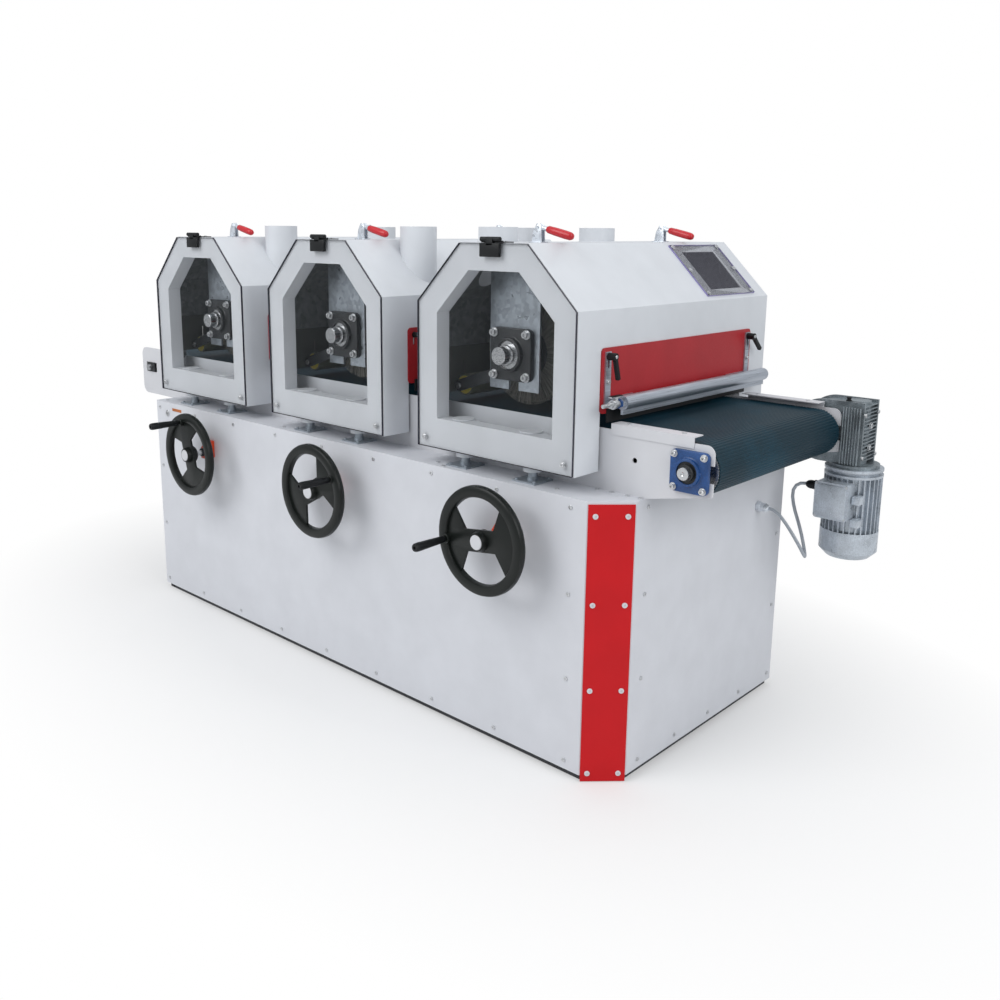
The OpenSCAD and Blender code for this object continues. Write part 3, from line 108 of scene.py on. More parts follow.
class Bench:
    """Modelling steps, each done with Blender's own operators."""

    @staticmethod
    def clear() -> None:
        """Return to object mode with nothing selected."""
        if bpy.context.object and bpy.context.object.mode != "OBJECT":
            bpy.ops.object.mode_set(mode="OBJECT")
        bpy.ops.object.select_all(action="DESELECT")

    @classmethod
    def pick(cls, obj: Piece) -> None:
        """Make one object the only selected and active one.

        Args:
            obj: Object to select.
        """
        cls.clear()
        obj.select_set(True)
        bpy.context.view_layer.objects.active = obj

    @classmethod
    def settle(cls, obj: Piece, name: str) -> Piece:
        """Name an object and move its place, turn and scale into its mesh.

        Args:
            obj: Object to settle.
            name: New name of the object and its mesh.

        Returns:
            The same object.
        """
        cls.pick(obj)
        bpy.ops.object.transform_apply(location=True, rotation=True, scale=True)
        obj.name = name
        obj.data.name = name
        return obj

    @classmethod
    def bevel(cls, obj: Piece, width: float, segments: int = 2, angle: float = 35.0) -> Piece:
        """Round the sharp edges of an object.

        Args:
            obj: Object to change.
            width: Width of the round, in millimetres.
            segments: Steps across the round.
            angle: Least angle of an edge that is rounded, in degrees.

        Returns:
            The same object.
        """
        cls.pick(obj)
        step = obj.modifiers.new("round", "BEVEL")
        step.width = width * MM
        step.segments = segments
        step.limit_method = "ANGLE"
        step.angle_limit = math.radians(angle)
        step.harden_normals = False
        bpy.ops.object.modifier_apply(modifier=step.name)
        return obj

    @classmethod
    def block(cls, name: str, lo: Point, hi: Point, bevel: float = 0.0) -> Piece:
        """Add a box between two corners.

        Args:
            name: Name of the piece.
            lo: Lowest corner.
            hi: Highest corner.
            bevel: Width of its rounded edges, or zero.

        Returns:
            The new object.
        """
        cls.clear()
        a, b = Vector(lo), Vector(hi)
        bpy.ops.mesh.primitive_cube_add(size=1.0, location=(a + b) / 2 * MM)
        obj = bpy.context.object
        obj.scale = (b - a) * MM
        cls.settle(obj, name)
        return cls.bevel(obj, bevel) if bevel else obj

    @classmethod
    def turned(
        cls, name: str, profile: Sequence[Pair], foot: Point, axis: Direction, sides: int = 40
    ) -> Piece:
        """Turn a piece on an axis from a profile of radius and height steps.

        Args:
            name: Name of the piece.
            profile: Pairs of radius and height along the axis, foot first.
            foot: Where height zero stands.
            axis: Direction of the axis.
            sides: Steps round the axis.

        Returns:
            The new object.
        """
        cls.clear()
        radius, height = profile[0]
        bpy.ops.mesh.primitive_circle_add(
            vertices=sides, radius=radius * MM, fill_type="NGON", location=(0, 0, 0)
        )
        obj = bpy.context.object
        bpy.ops.object.mode_set(mode="EDIT")
        bpy.ops.mesh.select_all(action="SELECT")
        bpy.ops.transform.translate(value=(0, 0, height * MM))
        for r, h in profile[1:]:
            bpy.ops.mesh.extrude_region_move(TRANSFORM_OT_translate={"value": (0, 0, (h - height) * MM)})
            ratio = r / radius
            bpy.ops.transform.resize(value=(ratio, ratio, 1.0), center_override=(0, 0, h * MM))
            radius, height = r, h
        bpy.ops.mesh.select_all(action="SELECT")
        bpy.ops.mesh.remove_doubles(threshold=1e-6)
        bpy.ops.mesh.normals_make_consistent(inside=False)
        bpy.ops.object.mode_set(mode="OBJECT")
        direction = Vector(axis.value) if isinstance(axis, Axis) else axis
        obj.rotation_mode = "QUATERNION"
        obj.rotation_quaternion = direction.to_track_quat("Z", "Y")
        obj.location = Vector(foot) * MM
        return cls.settle(obj, name)

    @classmethod
    def rod(
        cls, name: str, foot: Point, axis: Direction, radius: float, length: float, sides: int = 32,
        bevel: float = 0.0,
    ) -> Piece:
        """Add a round or many-sided bar.

        Args:
            name: Name of the piece.
            foot: Middle of its first end.
            axis: Direction of the bar.
            radius: Radius over its corners.
            length: Length of the bar.
            sides: Number of sides.
            bevel: Chamfer at both ends, or zero.

        Returns:
            The new object.
        """
        if not bevel:
            return cls.turned(name, [(radius, 0), (radius, length)], foot, axis, sides)
        steps = [(radius - bevel, 0), (radius, bevel), (radius, length - bevel), (radius - bevel, length)]
        return cls.turned(name, steps, foot, axis, sides)

    @classmethod
    def rings(
        cls, name: str, rings: Sequence[Sequence[Vector]], closed: bool = False, capped: bool = False
    ) -> Piece:
        """Draw a skin by extruding a ring of edges from one place to the next.

        Args:
            name: Name of the piece.
            rings: Rings of points, all with the same count.
            closed: Joins the last ring to the first one.
            capped: Fills the first and the last ring.

        Returns:
            The new object.
        """
        cls.clear()
        count = len(rings[0])
        bpy.ops.mesh.primitive_circle_add(vertices=count, radius=1.0, fill_type="NOTHING")
        obj = bpy.context.object
        for vertex, place in zip(obj.data.vertices, rings[0]):
            vertex.co = place * MM
        steps = list(rings[1:]) + ([rings[0]] if closed else [])
        bpy.ops.object.mode_set(mode="EDIT")
        bpy.ops.mesh.select_mode(type="VERT")
        bpy.ops.mesh.select_all(action="SELECT")
        previous = rings[0]
        for ring in steps:
            bpy.ops.mesh.extrude_region_move()
            bpy.ops.object.mode_set(mode="OBJECT")
            order = {cls._key(place * MM): k for k, place in enumerate(previous)}
            for vertex in obj.data.vertices:
                if vertex.select:
                    vertex.co = ring[order[cls._key(vertex.co)]] * MM
            bpy.ops.object.mode_set(mode="EDIT")
            previous = ring
        bpy.ops.mesh.select_all(action="SELECT")
        bpy.ops.mesh.remove_doubles(threshold=1e-6)
        if capped:
            bpy.ops.mesh.select_all(action="DESELECT")
            bpy.ops.mesh.select_non_manifold()
            bpy.ops.mesh.edge_face_add()
            bpy.ops.mesh.select_all(action="SELECT")
        bpy.ops.mesh.normals_make_consistent(inside=False)
        bpy.ops.object.mode_set(mode="OBJECT")
        return cls.settle(obj, name)

    @staticmethod
    def _key(place: Vector) -> tuple[int, int, int]:
        """Round a place to a key that finds its vertex again."""
        return tuple(round(c * 1e6) for c in place)

    @classmethod
    def plate(cls, name: str, outline: Sequence[Point], along: Point, bevel: float = 0.0) -> Piece:
        """Extrude a flat outline.

        Args:
            name: Name of the piece.
            outline: Corners of the outline, in turn.
            along: Direction and length of the extrusion.
            bevel: Width of the rounded rims, or zero.

        Returns:
            The new object.
        """
        cls.clear()
        bpy.ops.mesh.primitive_circle_add(vertices=len(outline), radius=1.0, fill_type="NGON")
        obj = bpy.context.object
        for vertex, place in zip(obj.data.vertices, outline):
            vertex.co = Vector(place) * MM
        bpy.ops.object.mode_set(mode="EDIT")
        bpy.ops.mesh.select_all(action="SELECT")
        bpy.ops.mesh.extrude_region_move(TRANSFORM_OT_translate={"value": Vector(along) * MM})
        bpy.ops.mesh.select_all(action="SELECT")
        bpy.ops.mesh.normals_make_consistent(inside=False)
        bpy.ops.object.mode_set(mode="OBJECT")
        cls.settle(obj, name)
        return cls.bevel(obj, bevel) if bevel else obj

    @classmethod
    def cut(cls, obj: Piece, *cutters: Piece) -> Piece:
        """Take the cutters' bodies out of an object and remove the cutters.

        Args:
            obj: Object that is cut.
            cutters: Bodies that are taken out of it.

        Returns:
            The same object.
        """
        for cutter in cutters:
            cls.pick(obj)
            step = obj.modifiers.new("cut", "BOOLEAN")
            step.operation = "DIFFERENCE"
            step.solver = "EXACT"
            step.object = cutter
            bpy.ops.object.modifier_apply(modifier=step.name)
            bpy.data.objects.remove(cutter)
        return obj

    @classmethod
    def join(cls, name: str, parts: Sequence[Piece]) -> Piece:
        """Join objects into the first one.

        Args:
            name: Name of the joined object.
            parts: Objects to join.

        Returns:
            The first object, which holds them all.
        """
        cls.clear()
        for part in parts:
            part.select_set(True)
        bpy.context.view_layer.objects.active = parts[0]
        if len(parts) > 1:
            bpy.ops.object.join()
        return cls.settle(parts[0], name)

    @staticmethod
    def copy(obj: Piece, offset: Point = ORIGIN, turn: Matrix | None = None) -> Piece:
        """Copy an object with its own mesh, turned first and then moved.

        Args:
            obj: Object to copy.
            offset: Way that the copy is moved.
            turn: Turn about the origin, or None.

        Returns:
            The copy.
        """
        twin = obj.copy()
        twin.data = obj.data.copy()
        bpy.context.scene.collection.objects.link(twin)
        twin.data.transform(Matrix.Translation(Vector(offset) * MM) @ (turn or Matrix.Identity(4)))
        return twin

    @classmethod
    def strewn(cls, name: str, obj: Piece, places: Sequence[Point]) -> Piece:
        """Copy a piece that stands at the origin to many places, as one object.

        Args:
            name: Name of the new object.
            obj: Piece to copy, which is removed.
            places: Where the copies stand.

        Returns:
            All copies as one object.
        """
        twins = [cls.copy(obj, place) for place in places]
        bpy.data.objects.remove(obj)
        return cls.join(name, twins)

    @classmethod
    def smooth(cls, obj: Piece, angle: float = 32.0) -> None:
        """Shade smooth all but the sharp edges."""
        cls.pick(obj)
        bpy.ops.object.shade_smooth_by_angle(angle=math.radians(angle))


# Finishes


class Tree:
    """Node tree of one material, with short calls for the nodes that it uses."""

    def __init__(self, name: str) -> None:
        """Start a material with a shader and an output.

        Args:
            name: Name of the material.
        """
        self.material = bpy.data.materials.new(name)
        self.material.use_nodes = True
        self.nodes = self.material.node_tree.nodes
        self.links = self.material.node_tree.links
        self.nodes.clear()
        self.shader = self.nodes.new("ShaderNodeBsdfPrincipled")
        output = self.nodes.new("ShaderNodeOutputMaterial")
        self.links.new(self.shader.outputs["BSDF"], output.inputs["Surface"])

    def coordinates(self, scale: Point = (1.0, 1.0, 1.0), shift: Point = ORIGIN) -> Socket:
        """Object coordinates, moved by shift and then scaled.

        Args:
            scale: Scale along each axis.
            shift: Way that the coordinates are moved, in metres.

        Returns:
            Socket with the coordinates.
        """
        source = self.nodes.new("ShaderNodeTexCoord")
        mapping = self.nodes.new("ShaderNodeMapping")
        mapping.inputs["Scale"].default_value = scale
        mapping.inputs["Location"].default_value = shift
        self.links.new(source.outputs["Object"], mapping.inputs["Vector"])
        return mapping.outputs["Vector"]

    def noise(self, vector: Socket, scale: float, detail: float = 3.0) -> Socket:
        """Value of a noise texture.

        Args:
            vector: Coordinates that it reads.
            scale: Fineness of the noise.
            detail: Number of finer layers.

        Returns:
            Socket with the value.
        """
        node = self.nodes.new("ShaderNodeTexNoise")
        node.inputs["Scale"].default_value = scale
        node.inputs["Detail"].default_value = detail
        self.links.new(vector, node.inputs["Vector"])
        return node.outputs["Fac"]

    def cells(self, vector: Socket, scale: float) -> Socket:
        """Random colour of each cell of a Voronoi texture.

        Args:
            vector: Coordinates that it reads.
            scale: Number of cells in a metre.

        Returns:
            Socket with the colour.
        """
        node = self.nodes.new("ShaderNodeTexVoronoi")
        node.inputs["Scale"].default_value = scale
        self.links.new(vector, node.inputs["Vector"])
        return node.outputs["Color"]

    def spread(
        self, value: Socket, lo: float, hi: float, from_lo: float = 0.3, from_hi: float = 0.7
    ) -> Socket:
        """Map a value between two limits.

        Args:
            value: Value to map.
            lo: Result at the lower end.
            hi: Result at the upper end.
            from_lo: Value at the lower end.
            from_hi: Value at the upper end.

        Returns:
            Socket with the result.
        """
        node = self.nodes.new("ShaderNodeMapRange")
        node.inputs["From Min"].default_value = from_lo
        node.inputs["From Max"].default_value = from_hi
        node.inputs["To Min"].default_value = lo
        node.inputs["To Max"].default_value = hi
        self.links.new(value, node.inputs["Value"])
        return node.outputs["Result"]

    def maths(self, kind: str, a: Socket, b: Socket | float) -> Socket:
        """Join two values with a maths node.

        Args:
            kind: Operation of the node.
            a: First value.
            b: Second value, a socket or a number.

        Returns:
            Socket with the result.
        """
        node = self.nodes.new("ShaderNodeMath")
        node.operation = kind
        self.links.new(a, node.inputs[0])
        if isinstance(b, float):
            node.inputs[1].default_value = b
        else:
            self.links.new(b, node.inputs[1])
        return node.outputs[0]

    def tint(self, value: Socket, dark: Point, light: Point) -> None:
        """Blend the base colour between two colours by a value.

        Args:
            value: Share of the lighter colour.
            dark: Colour at 0.
            light: Colour at 1.
        """
        node = self.nodes.new("ShaderNodeMix")
        node.data_type = "RGBA"
        node.inputs[6].default_value = (*dark, 1.0)
        node.inputs[7].default_value = (*light, 1.0)
        self.links.new(value, node.inputs[0])
        self.links.new(node.outputs[2], self.shader.inputs["Base Color"])

    def rough(self, value: Socket) -> None:
        """Drive the roughness by a value."""
        self.links.new(value, self.shader.inputs["Roughness"])

    def bump(self, value: Socket, depth: float, strength: float = 1.0) -> None:
        """Raise the surface by a value.

        Args:
            value: Height between 0 and 1.
            depth: Height of the relief, in millimetres.
            strength: Share of the relief that shows.
        """
        node = self.nodes.new("ShaderNodeBump")
        node.inputs["Strength"].default_value = strength
        node.inputs["Distance"].default_value = depth * MM
        self.links.new(value, node.inputs["Height"])
        self.links.new(node.outputs["Normal"], self.shader.inputs["Normal"])


@dataclass(frozen=True)
class Finish:
    """Plain surface with a faint mottle, the base of all finishes.

    Args:
        name: Name of the material.
        colour: Linear colour.
        roughness: Roughness of the surface.
        metal: Share of bare metal.
        mottle: Share by which the colour varies.
        coat: Strength of a clear coat.
        shine: Strength of the mirror reflection.
    """

    name: str
    colour: Point
    roughness: float = 0.45
    metal: float = 0.0
    mottle: float = 0.05
    coat: float = 0.0
    shine: float = 0.5

    def material(self) -> bpy.types.Material:
        """Build the material once and hand it out again after that.

        Returns:
            The finish's material.
        """
        label = f"{self.name}_finish"
        found = bpy.data.materials.get(label)
        if found:
            return found
        tree = Tree(label)
        tree.shader.inputs["Base Color"].default_value = (*self.colour, 1.0)
        tree.shader.inputs["Roughness"].default_value = self.roughness
        tree.shader.inputs["Metallic"].default_value = self.metal
        tree.shader.inputs["Coat Weight"].default_value = self.coat
        tree.shader.inputs["Specular IOR Level"].default_value = self.shine
        self.surface(tree)
        return tree.material

    def shades(self) -> tuple[Point, Point]:
        """Darker and lighter colour on both sides of the finish's own.

        Returns:
            The darker and the lighter colour.
        """
        dark = tuple(c * (1 - self.mottle) for c in self.colour)
        light = tuple(min(1.0, c * (1 + self.mottle)) for c in self.colour)
        return dark, light

    def surface(self, tree: Tree) -> None:
        """Vary the colour and the roughness over a hand's width.

        Args:
            tree: Node tree of the finish's material.
        """
        value = tree.noise(tree.coordinates(), 9.0)
        tree.tint(tree.spread(value, 0.0, 1.0), *self.shades())
        fine = tree.noise(tree.coordinates(), 160.0)
        tree.rough(tree.spread(fine, self.roughness * 0.9, min(1.0, self.roughness * 1.12)))


@dataclass(frozen=True)
class PowderCoat(Finish):
    """Sprayed and baked paint with a fine orange peel."""

    def surface(self, tree: Tree) -> None:
        """Add the peel to the plain surface."""
        super().surface(tree)
        tree.bump(tree.noise(tree.coordinates(), 420.0, 1.0), 0.05, 0.5)


@dataclass(frozen=True)
class Casting(Finish):
    """Painted or bare sand casting."""

    def surface(self, tree: Tree) -> None:
        """Vary the shade in small patches over a grainy relief.

        Args:
            tree: Node tree of the finish's material.
        """
        grain = tree.noise(tree.coordinates(), 260.0, 4.0)
        patch = tree.noise(tree.coordinates(), 24.0)
        tree.tint(tree.spread(tree.maths("MULTIPLY", grain, patch), 0.0, 1.0, 0.12, 0.4), *self.shades())
        tree.rough(tree.spread(patch, self.roughness * 0.85, min(1.0, self.roughness * 1.15)))
        tree.bump(grain, 0.25, 0.6)


@dataclass(frozen=True)
class Galvanised(Finish):
    """Zinc with flat crystals of different shine."""

    def surface(self, tree: Tree) -> None:
        """Give every crystal its own shade and roughness.

        Args:
            tree: Node tree of the finish's material.
        """
        crystal = tree.cells(tree.coordinates(), 70.0)
        tree.tint(crystal, *self.shades())
        tree.rough(tree.spread(crystal, self.roughness * 0.7, self.roughness * 1.3, 0.0, 1.0))


@dataclass(frozen=True)
class Drawn(Finish):
    """Turned or drawn metal with streaks along one direction.

    Args:
        grain: Scale of the texture along each axis, small along the streaks.
    """

    grain: Point = (600.0, 8.0, 600.0)

    def surface(self, tree: Tree) -> None:
        """Streak the colour and the roughness.

        Args:
            tree: Node tree of the finish's material.
        """
        streak = tree.noise(tree.coordinates(self.grain), 1.0, 4.0)
        tree.tint(tree.spread(streak, 0.0, 1.0), *self.shades())
        tree.rough(tree.spread(streak, self.roughness * 0.75, min(1.0, self.roughness * 1.35)))
        tree.bump(streak, 0.02, 0.4)


@dataclass(frozen=True)
class Rubber(Finish):
    """Dull rubber with dust specks."""

    def surface(self, tree: Tree) -> None:
        """Strew pale dust over the dark rubber.

        Args:
            tree: Node tree of the finish's material.
        """
        dust = tree.noise(tree.coordinates(), 340.0, 6.0)
        cloud = tree.noise(tree.coordinates(), 4.0)
        specks = tree.spread(tree.maths("MULTIPLY", dust, cloud), 0.0, 1.0, 0.24, 0.46)
        tree.tint(specks, *self.shades())
        tree.rough(tree.spread(cloud, self.roughness * 0.9, min(1.0, self.roughness * 1.1)))
        tree.bump(dust, 0.08, 0.5)


@dataclass(frozen=True)
class Fibre(Finish):
    """Bundled bristles that run out from an axis along Y.

    Args:
        centre: Place of the axis, in millimetres.
    """

    centre: Point = ORIGIN

    def surface(self, tree: Tree) -> None:
        """Streak the colour along the radius.

        Args:
            tree: Node tree of the finish's material.
        """
        shifted = tree.coordinates(shift=tuple(-c * MM for c in self.centre))
        split = tree.nodes.new("ShaderNodeSeparateXYZ")
        tree.links.new(shifted, split.inputs[0])
        turn = tree.maths("ARCTAN2", split.outputs[0], split.outputs[2])
        merged = tree.nodes.new("ShaderNodeCombineXYZ")
        tree.links.new(tree.maths("MULTIPLY", turn, 70.0), merged.inputs[0])
        tree.links.new(tree.maths("MULTIPLY", split.outputs[1], 500.0), merged.inputs[1])
        streak = tree.noise(merged.outputs[0], 1.0, 5.0)
        tree.tint(tree.spread(streak, 0.0, 1.0, 0.35, 0.68), *self.shades())
        tree.bump(streak, 1.2, 0.8)


@dataclass(frozen=True)
class ClearSheet(Finish):
    """Clear plastic sheet.

    Args:
        alpha: Share of the light that the sheet stops.
    """

    alpha: float = 0.14

    def surface(self, tree: Tree) -> None:
        """Let most light through and keep the gloss.

        Args:
            tree: Node tree of the finish's material.
        """
        haze = tree.noise(tree.coordinates(), 6.0)
        alpha = tree.spread(haze, self.alpha * 0.9, self.alpha * 1.1)
        tree.links.new(alpha, tree.shader.inputs["Alpha"])
        tree.shader.inputs["IOR"].default_value = 1.49


class Shop:
    """All finishes of the sander."""

    CABINET = PowderCoat("cabinet_powder_coat", (0.615, 0.628, 0.665), 0.42, mottle=0.03)
    HOOD = PowderCoat("hood_powder_coat", (0.625, 0.648, 0.68), 0.38, mottle=0.03)
    PLATE = PowderCoat("plate_powder_coat", (0.60, 0.605, 0.63), 0.42, mottle=0.03)
    BRIGHT = Galvanised("bright_zinc", (0.66, 0.70, 0.75), 0.32, metal=0.55, mottle=0.2)
    LABEL = Finish("amber_label", (0.42, 0.12, 0.02), 0.45, mottle=0.15)
    CURTAIN = Rubber("curtain_rubber", (0.11, 0.115, 0.105), 0.6, mottle=0.4)
    # Inside of the hood: bare zinc sheet, darkened further as painted shade of the closed chamber.
    INSIDE_ZINC_AND_SHADE = Galvanised("hood_inside_zinc_and_painted_shade", (0.21, 0.225, 0.232), 0.5, metal=0.3, mottle=0.3)
    DARK = PowderCoat("dark_base", (0.035, 0.037, 0.042), 0.6, mottle=0.2)
    RED = PowderCoat("red_powder_coat", (0.53, 0.006, 0.010), 0.42, mottle=0.04, shine=0.22)
    GUARD = PowderCoat("guard_powder_coat", (0.38, 0.018, 0.024), 0.40, mottle=0.06, shine=0.35)
    BLUE = Casting("blue_casting", (0.012, 0.060, 0.20), 0.36, mottle=0.35)
    BLACK_CAST = Casting("black_casting", (0.016, 0.018, 0.02), 0.45, mottle=0.4)
    SILVER = Casting("aluminium_casting", (0.23, 0.265, 0.285), 0.36, metal=0.6, mottle=0.45)
    MOTOR = Casting("motor_lacquer", (0.50, 0.545, 0.595), 0.30, metal=0.45, mottle=0.2)
    ZINC = Galvanised("galvanised_steel", (0.37, 0.41, 0.45), 0.36, metal=0.7, mottle=0.22)
    STEEL = Drawn("bright_steel", (0.56, 0.57, 0.58), 0.26, metal=1.0, mottle=0.15)
    BOLT = Drawn(
        "zinc_plated_bolt", (0.62, 0.63, 0.64), 0.3, metal=0.9, mottle=0.12, grain=(300.0, 300.0, 300.0)
    )
    ALU = Drawn("drawn_aluminium", (0.52, 0.56, 0.62), 0.34, metal=0.85, mottle=0.2)
    BELT = Rubber("ribbed_belt_rubber", (0.005, 0.040, 0.064), 0.45, mottle=0.5, shine=0.2)
    SEAL = Rubber("seal_rubber", (0.012, 0.012, 0.014), 0.6, mottle=0.3)
    ENAMEL = Finish("black_enamel", (0.006, 0.008, 0.007), 0.34, mottle=0.2, shine=0.3)
    PLASTIC = Finish("black_plastic", (0.005, 0.006, 0.007), 0.45, mottle=0.2, shine=0.3)
    ORANGE = Finish("orange_plastic", (0.72, 0.060, 0.012), 0.38, mottle=0.08)
    GRIP = Finish("red_grip", (0.50, 0.012, 0.02), 0.32, mottle=0.1)
    YELLOW = Finish("yellow_end_disc", (0.62, 0.50, 0.04), 0.45, mottle=0.1)
    SLEEVE = Rubber("roller_sleeve", (0.17, 0.175, 0.115), 0.5, mottle=0.3)
    CABLE = Finish("grey_cable_sheath", (0.36, 0.39, 0.43), 0.34, mottle=0.1)
    BRASS = Drawn(
        "brass_fitting", (0.60, 0.47, 0.24), 0.28, metal=1.0, mottle=0.15, grain=(200.0, 20.0, 200.0)
    )
    PANE = ClearSheet("clear_pane", (0.10, 0.11, 0.12), 0.06, mottle=0.02, alpha=0.06)
    TINTED = ClearSheet("inspection_sheet", (0.16, 0.16, 0.20), 0.06, mottle=0.05, alpha=0.2)
    EDGE = Finish("violet_sheet_edge", (0.24, 0.21, 0.42), 0.2, mottle=0.2)
    DARK_EDGE = Finish("dark_sheet_edge", (0.035, 0.032, 0.055), 0.2, mottle=0.3)
    DISPLAY = Finish("counter_window", (0.03, 0.03, 0.035), 0.12, mottle=0.2, coat=0.6)


# Pieces


class Assembly:
    """Group of pieces that ride on bodies of the frame."""

    def keep(self, node: str, finish: Finish) -> None:
        """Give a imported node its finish.

        Args:
            node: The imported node.
            finish: Finish of all its faces.
        """
        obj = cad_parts[node]
        obj.data.materials.clear()
        obj.data.materials.append(finish.material())
        log.info("finish %s on %s", finish.name, node)

    def keep_two(
        self, node: str, finish: Finish, other: Finish, where: Callable[[Vector, Vector], bool]
    ) -> None:
        """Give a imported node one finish, and another one on some of its faces.

        Args:
            node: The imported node.
            finish: Finish of most faces.
            other: Finish of the faces that the test picks.
            where: Test of a face's centre, in millimetres, and normal.
        """
        self.keep(node, finish)
        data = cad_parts[node].data
        data.materials.append(other.material())
        for polygon in data.polygons:
            polygon.material_index = int(where(polygon.center / MM, polygon.normal))

    def put(
        self, obj: Piece, body: str, finish: Finish, replaces: Sequence[str] = (), smooth: float = 32.0
    ) -> Piece:
        """Give a new piece its finish and its body.

        Args:
            obj: The new piece.
            body: Body of the frame that it rides on.
            finish: Finish of the whole piece.
            replaces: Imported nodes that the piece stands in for.
            smooth: Largest angle that is shaded smooth, in degrees.

        Returns:
            The same piece.
        """
        obj.data.materials.clear()
        obj.data.materials.append(finish.material())
        for polygon in obj.data.polygons:
            polygon.material_index = 0
        Bench.smooth(obj, smooth)
        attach(obj, body)
        if replaces:
            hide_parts(*replaces)
        log.info("piece %s on %s: %d faces", obj.name, body, len(obj.data.polygons))
        return obj


@dataclass(frozen=True)
class Bolt:
    """Screw or bolt whose head stands on a face.

    Args:
        radius: Radius of the head.
        height: Height of the head.
        washer: Radius of its washer, or zero.
        socket: Radius of the hexagon socket, or zero for a hexagon head.
    """

    radius: float
    height: float
    washer: float = 0.0
    socket: float = 0.0

    def head(self, name: str, axis: Direction) -> Piece:
        """Model the bolt at the origin with its head along the axis.

        Args:
            name: Name of the piece.
            axis: Direction that the head points in.

        Returns:
            The bolt as one object.
        """
        r, h, s = self.radius, self.height, self.socket
        lift = h * 0.25 if self.washer else 0.0
        parts = []
        if self.washer:
            disc = [(self.washer, 0), (self.washer, lift)]
            parts.append(Bench.turned(name + "_washer", disc, ORIGIN, axis, 20))
        if s:
            top, shoulder, depth = lift + h, lift + h * 0.85, lift + h * 0.45
            steps = [(r, lift), (r, shoulder), (r * 0.88, top), (s, top), (s * 0.9, depth)]
            parts.append(Bench.turned(name + "_head", steps, ORIGIN, axis, 18))
        else:
            steps = [(r, lift), (r, lift + h * 0.8), (r * 0.82, lift + h)]
            parts.append(Bench.turned(name + "_head", steps, ORIGIN, axis, 6))
        return Bench.join(name, parts)

    def row(self, name: str, axis: Direction, places: Sequence[Point]) -> Piece:
        """Set the same bolt at many places."""
        return Bench.strewn(name, self.head(name + "_one", axis), places)


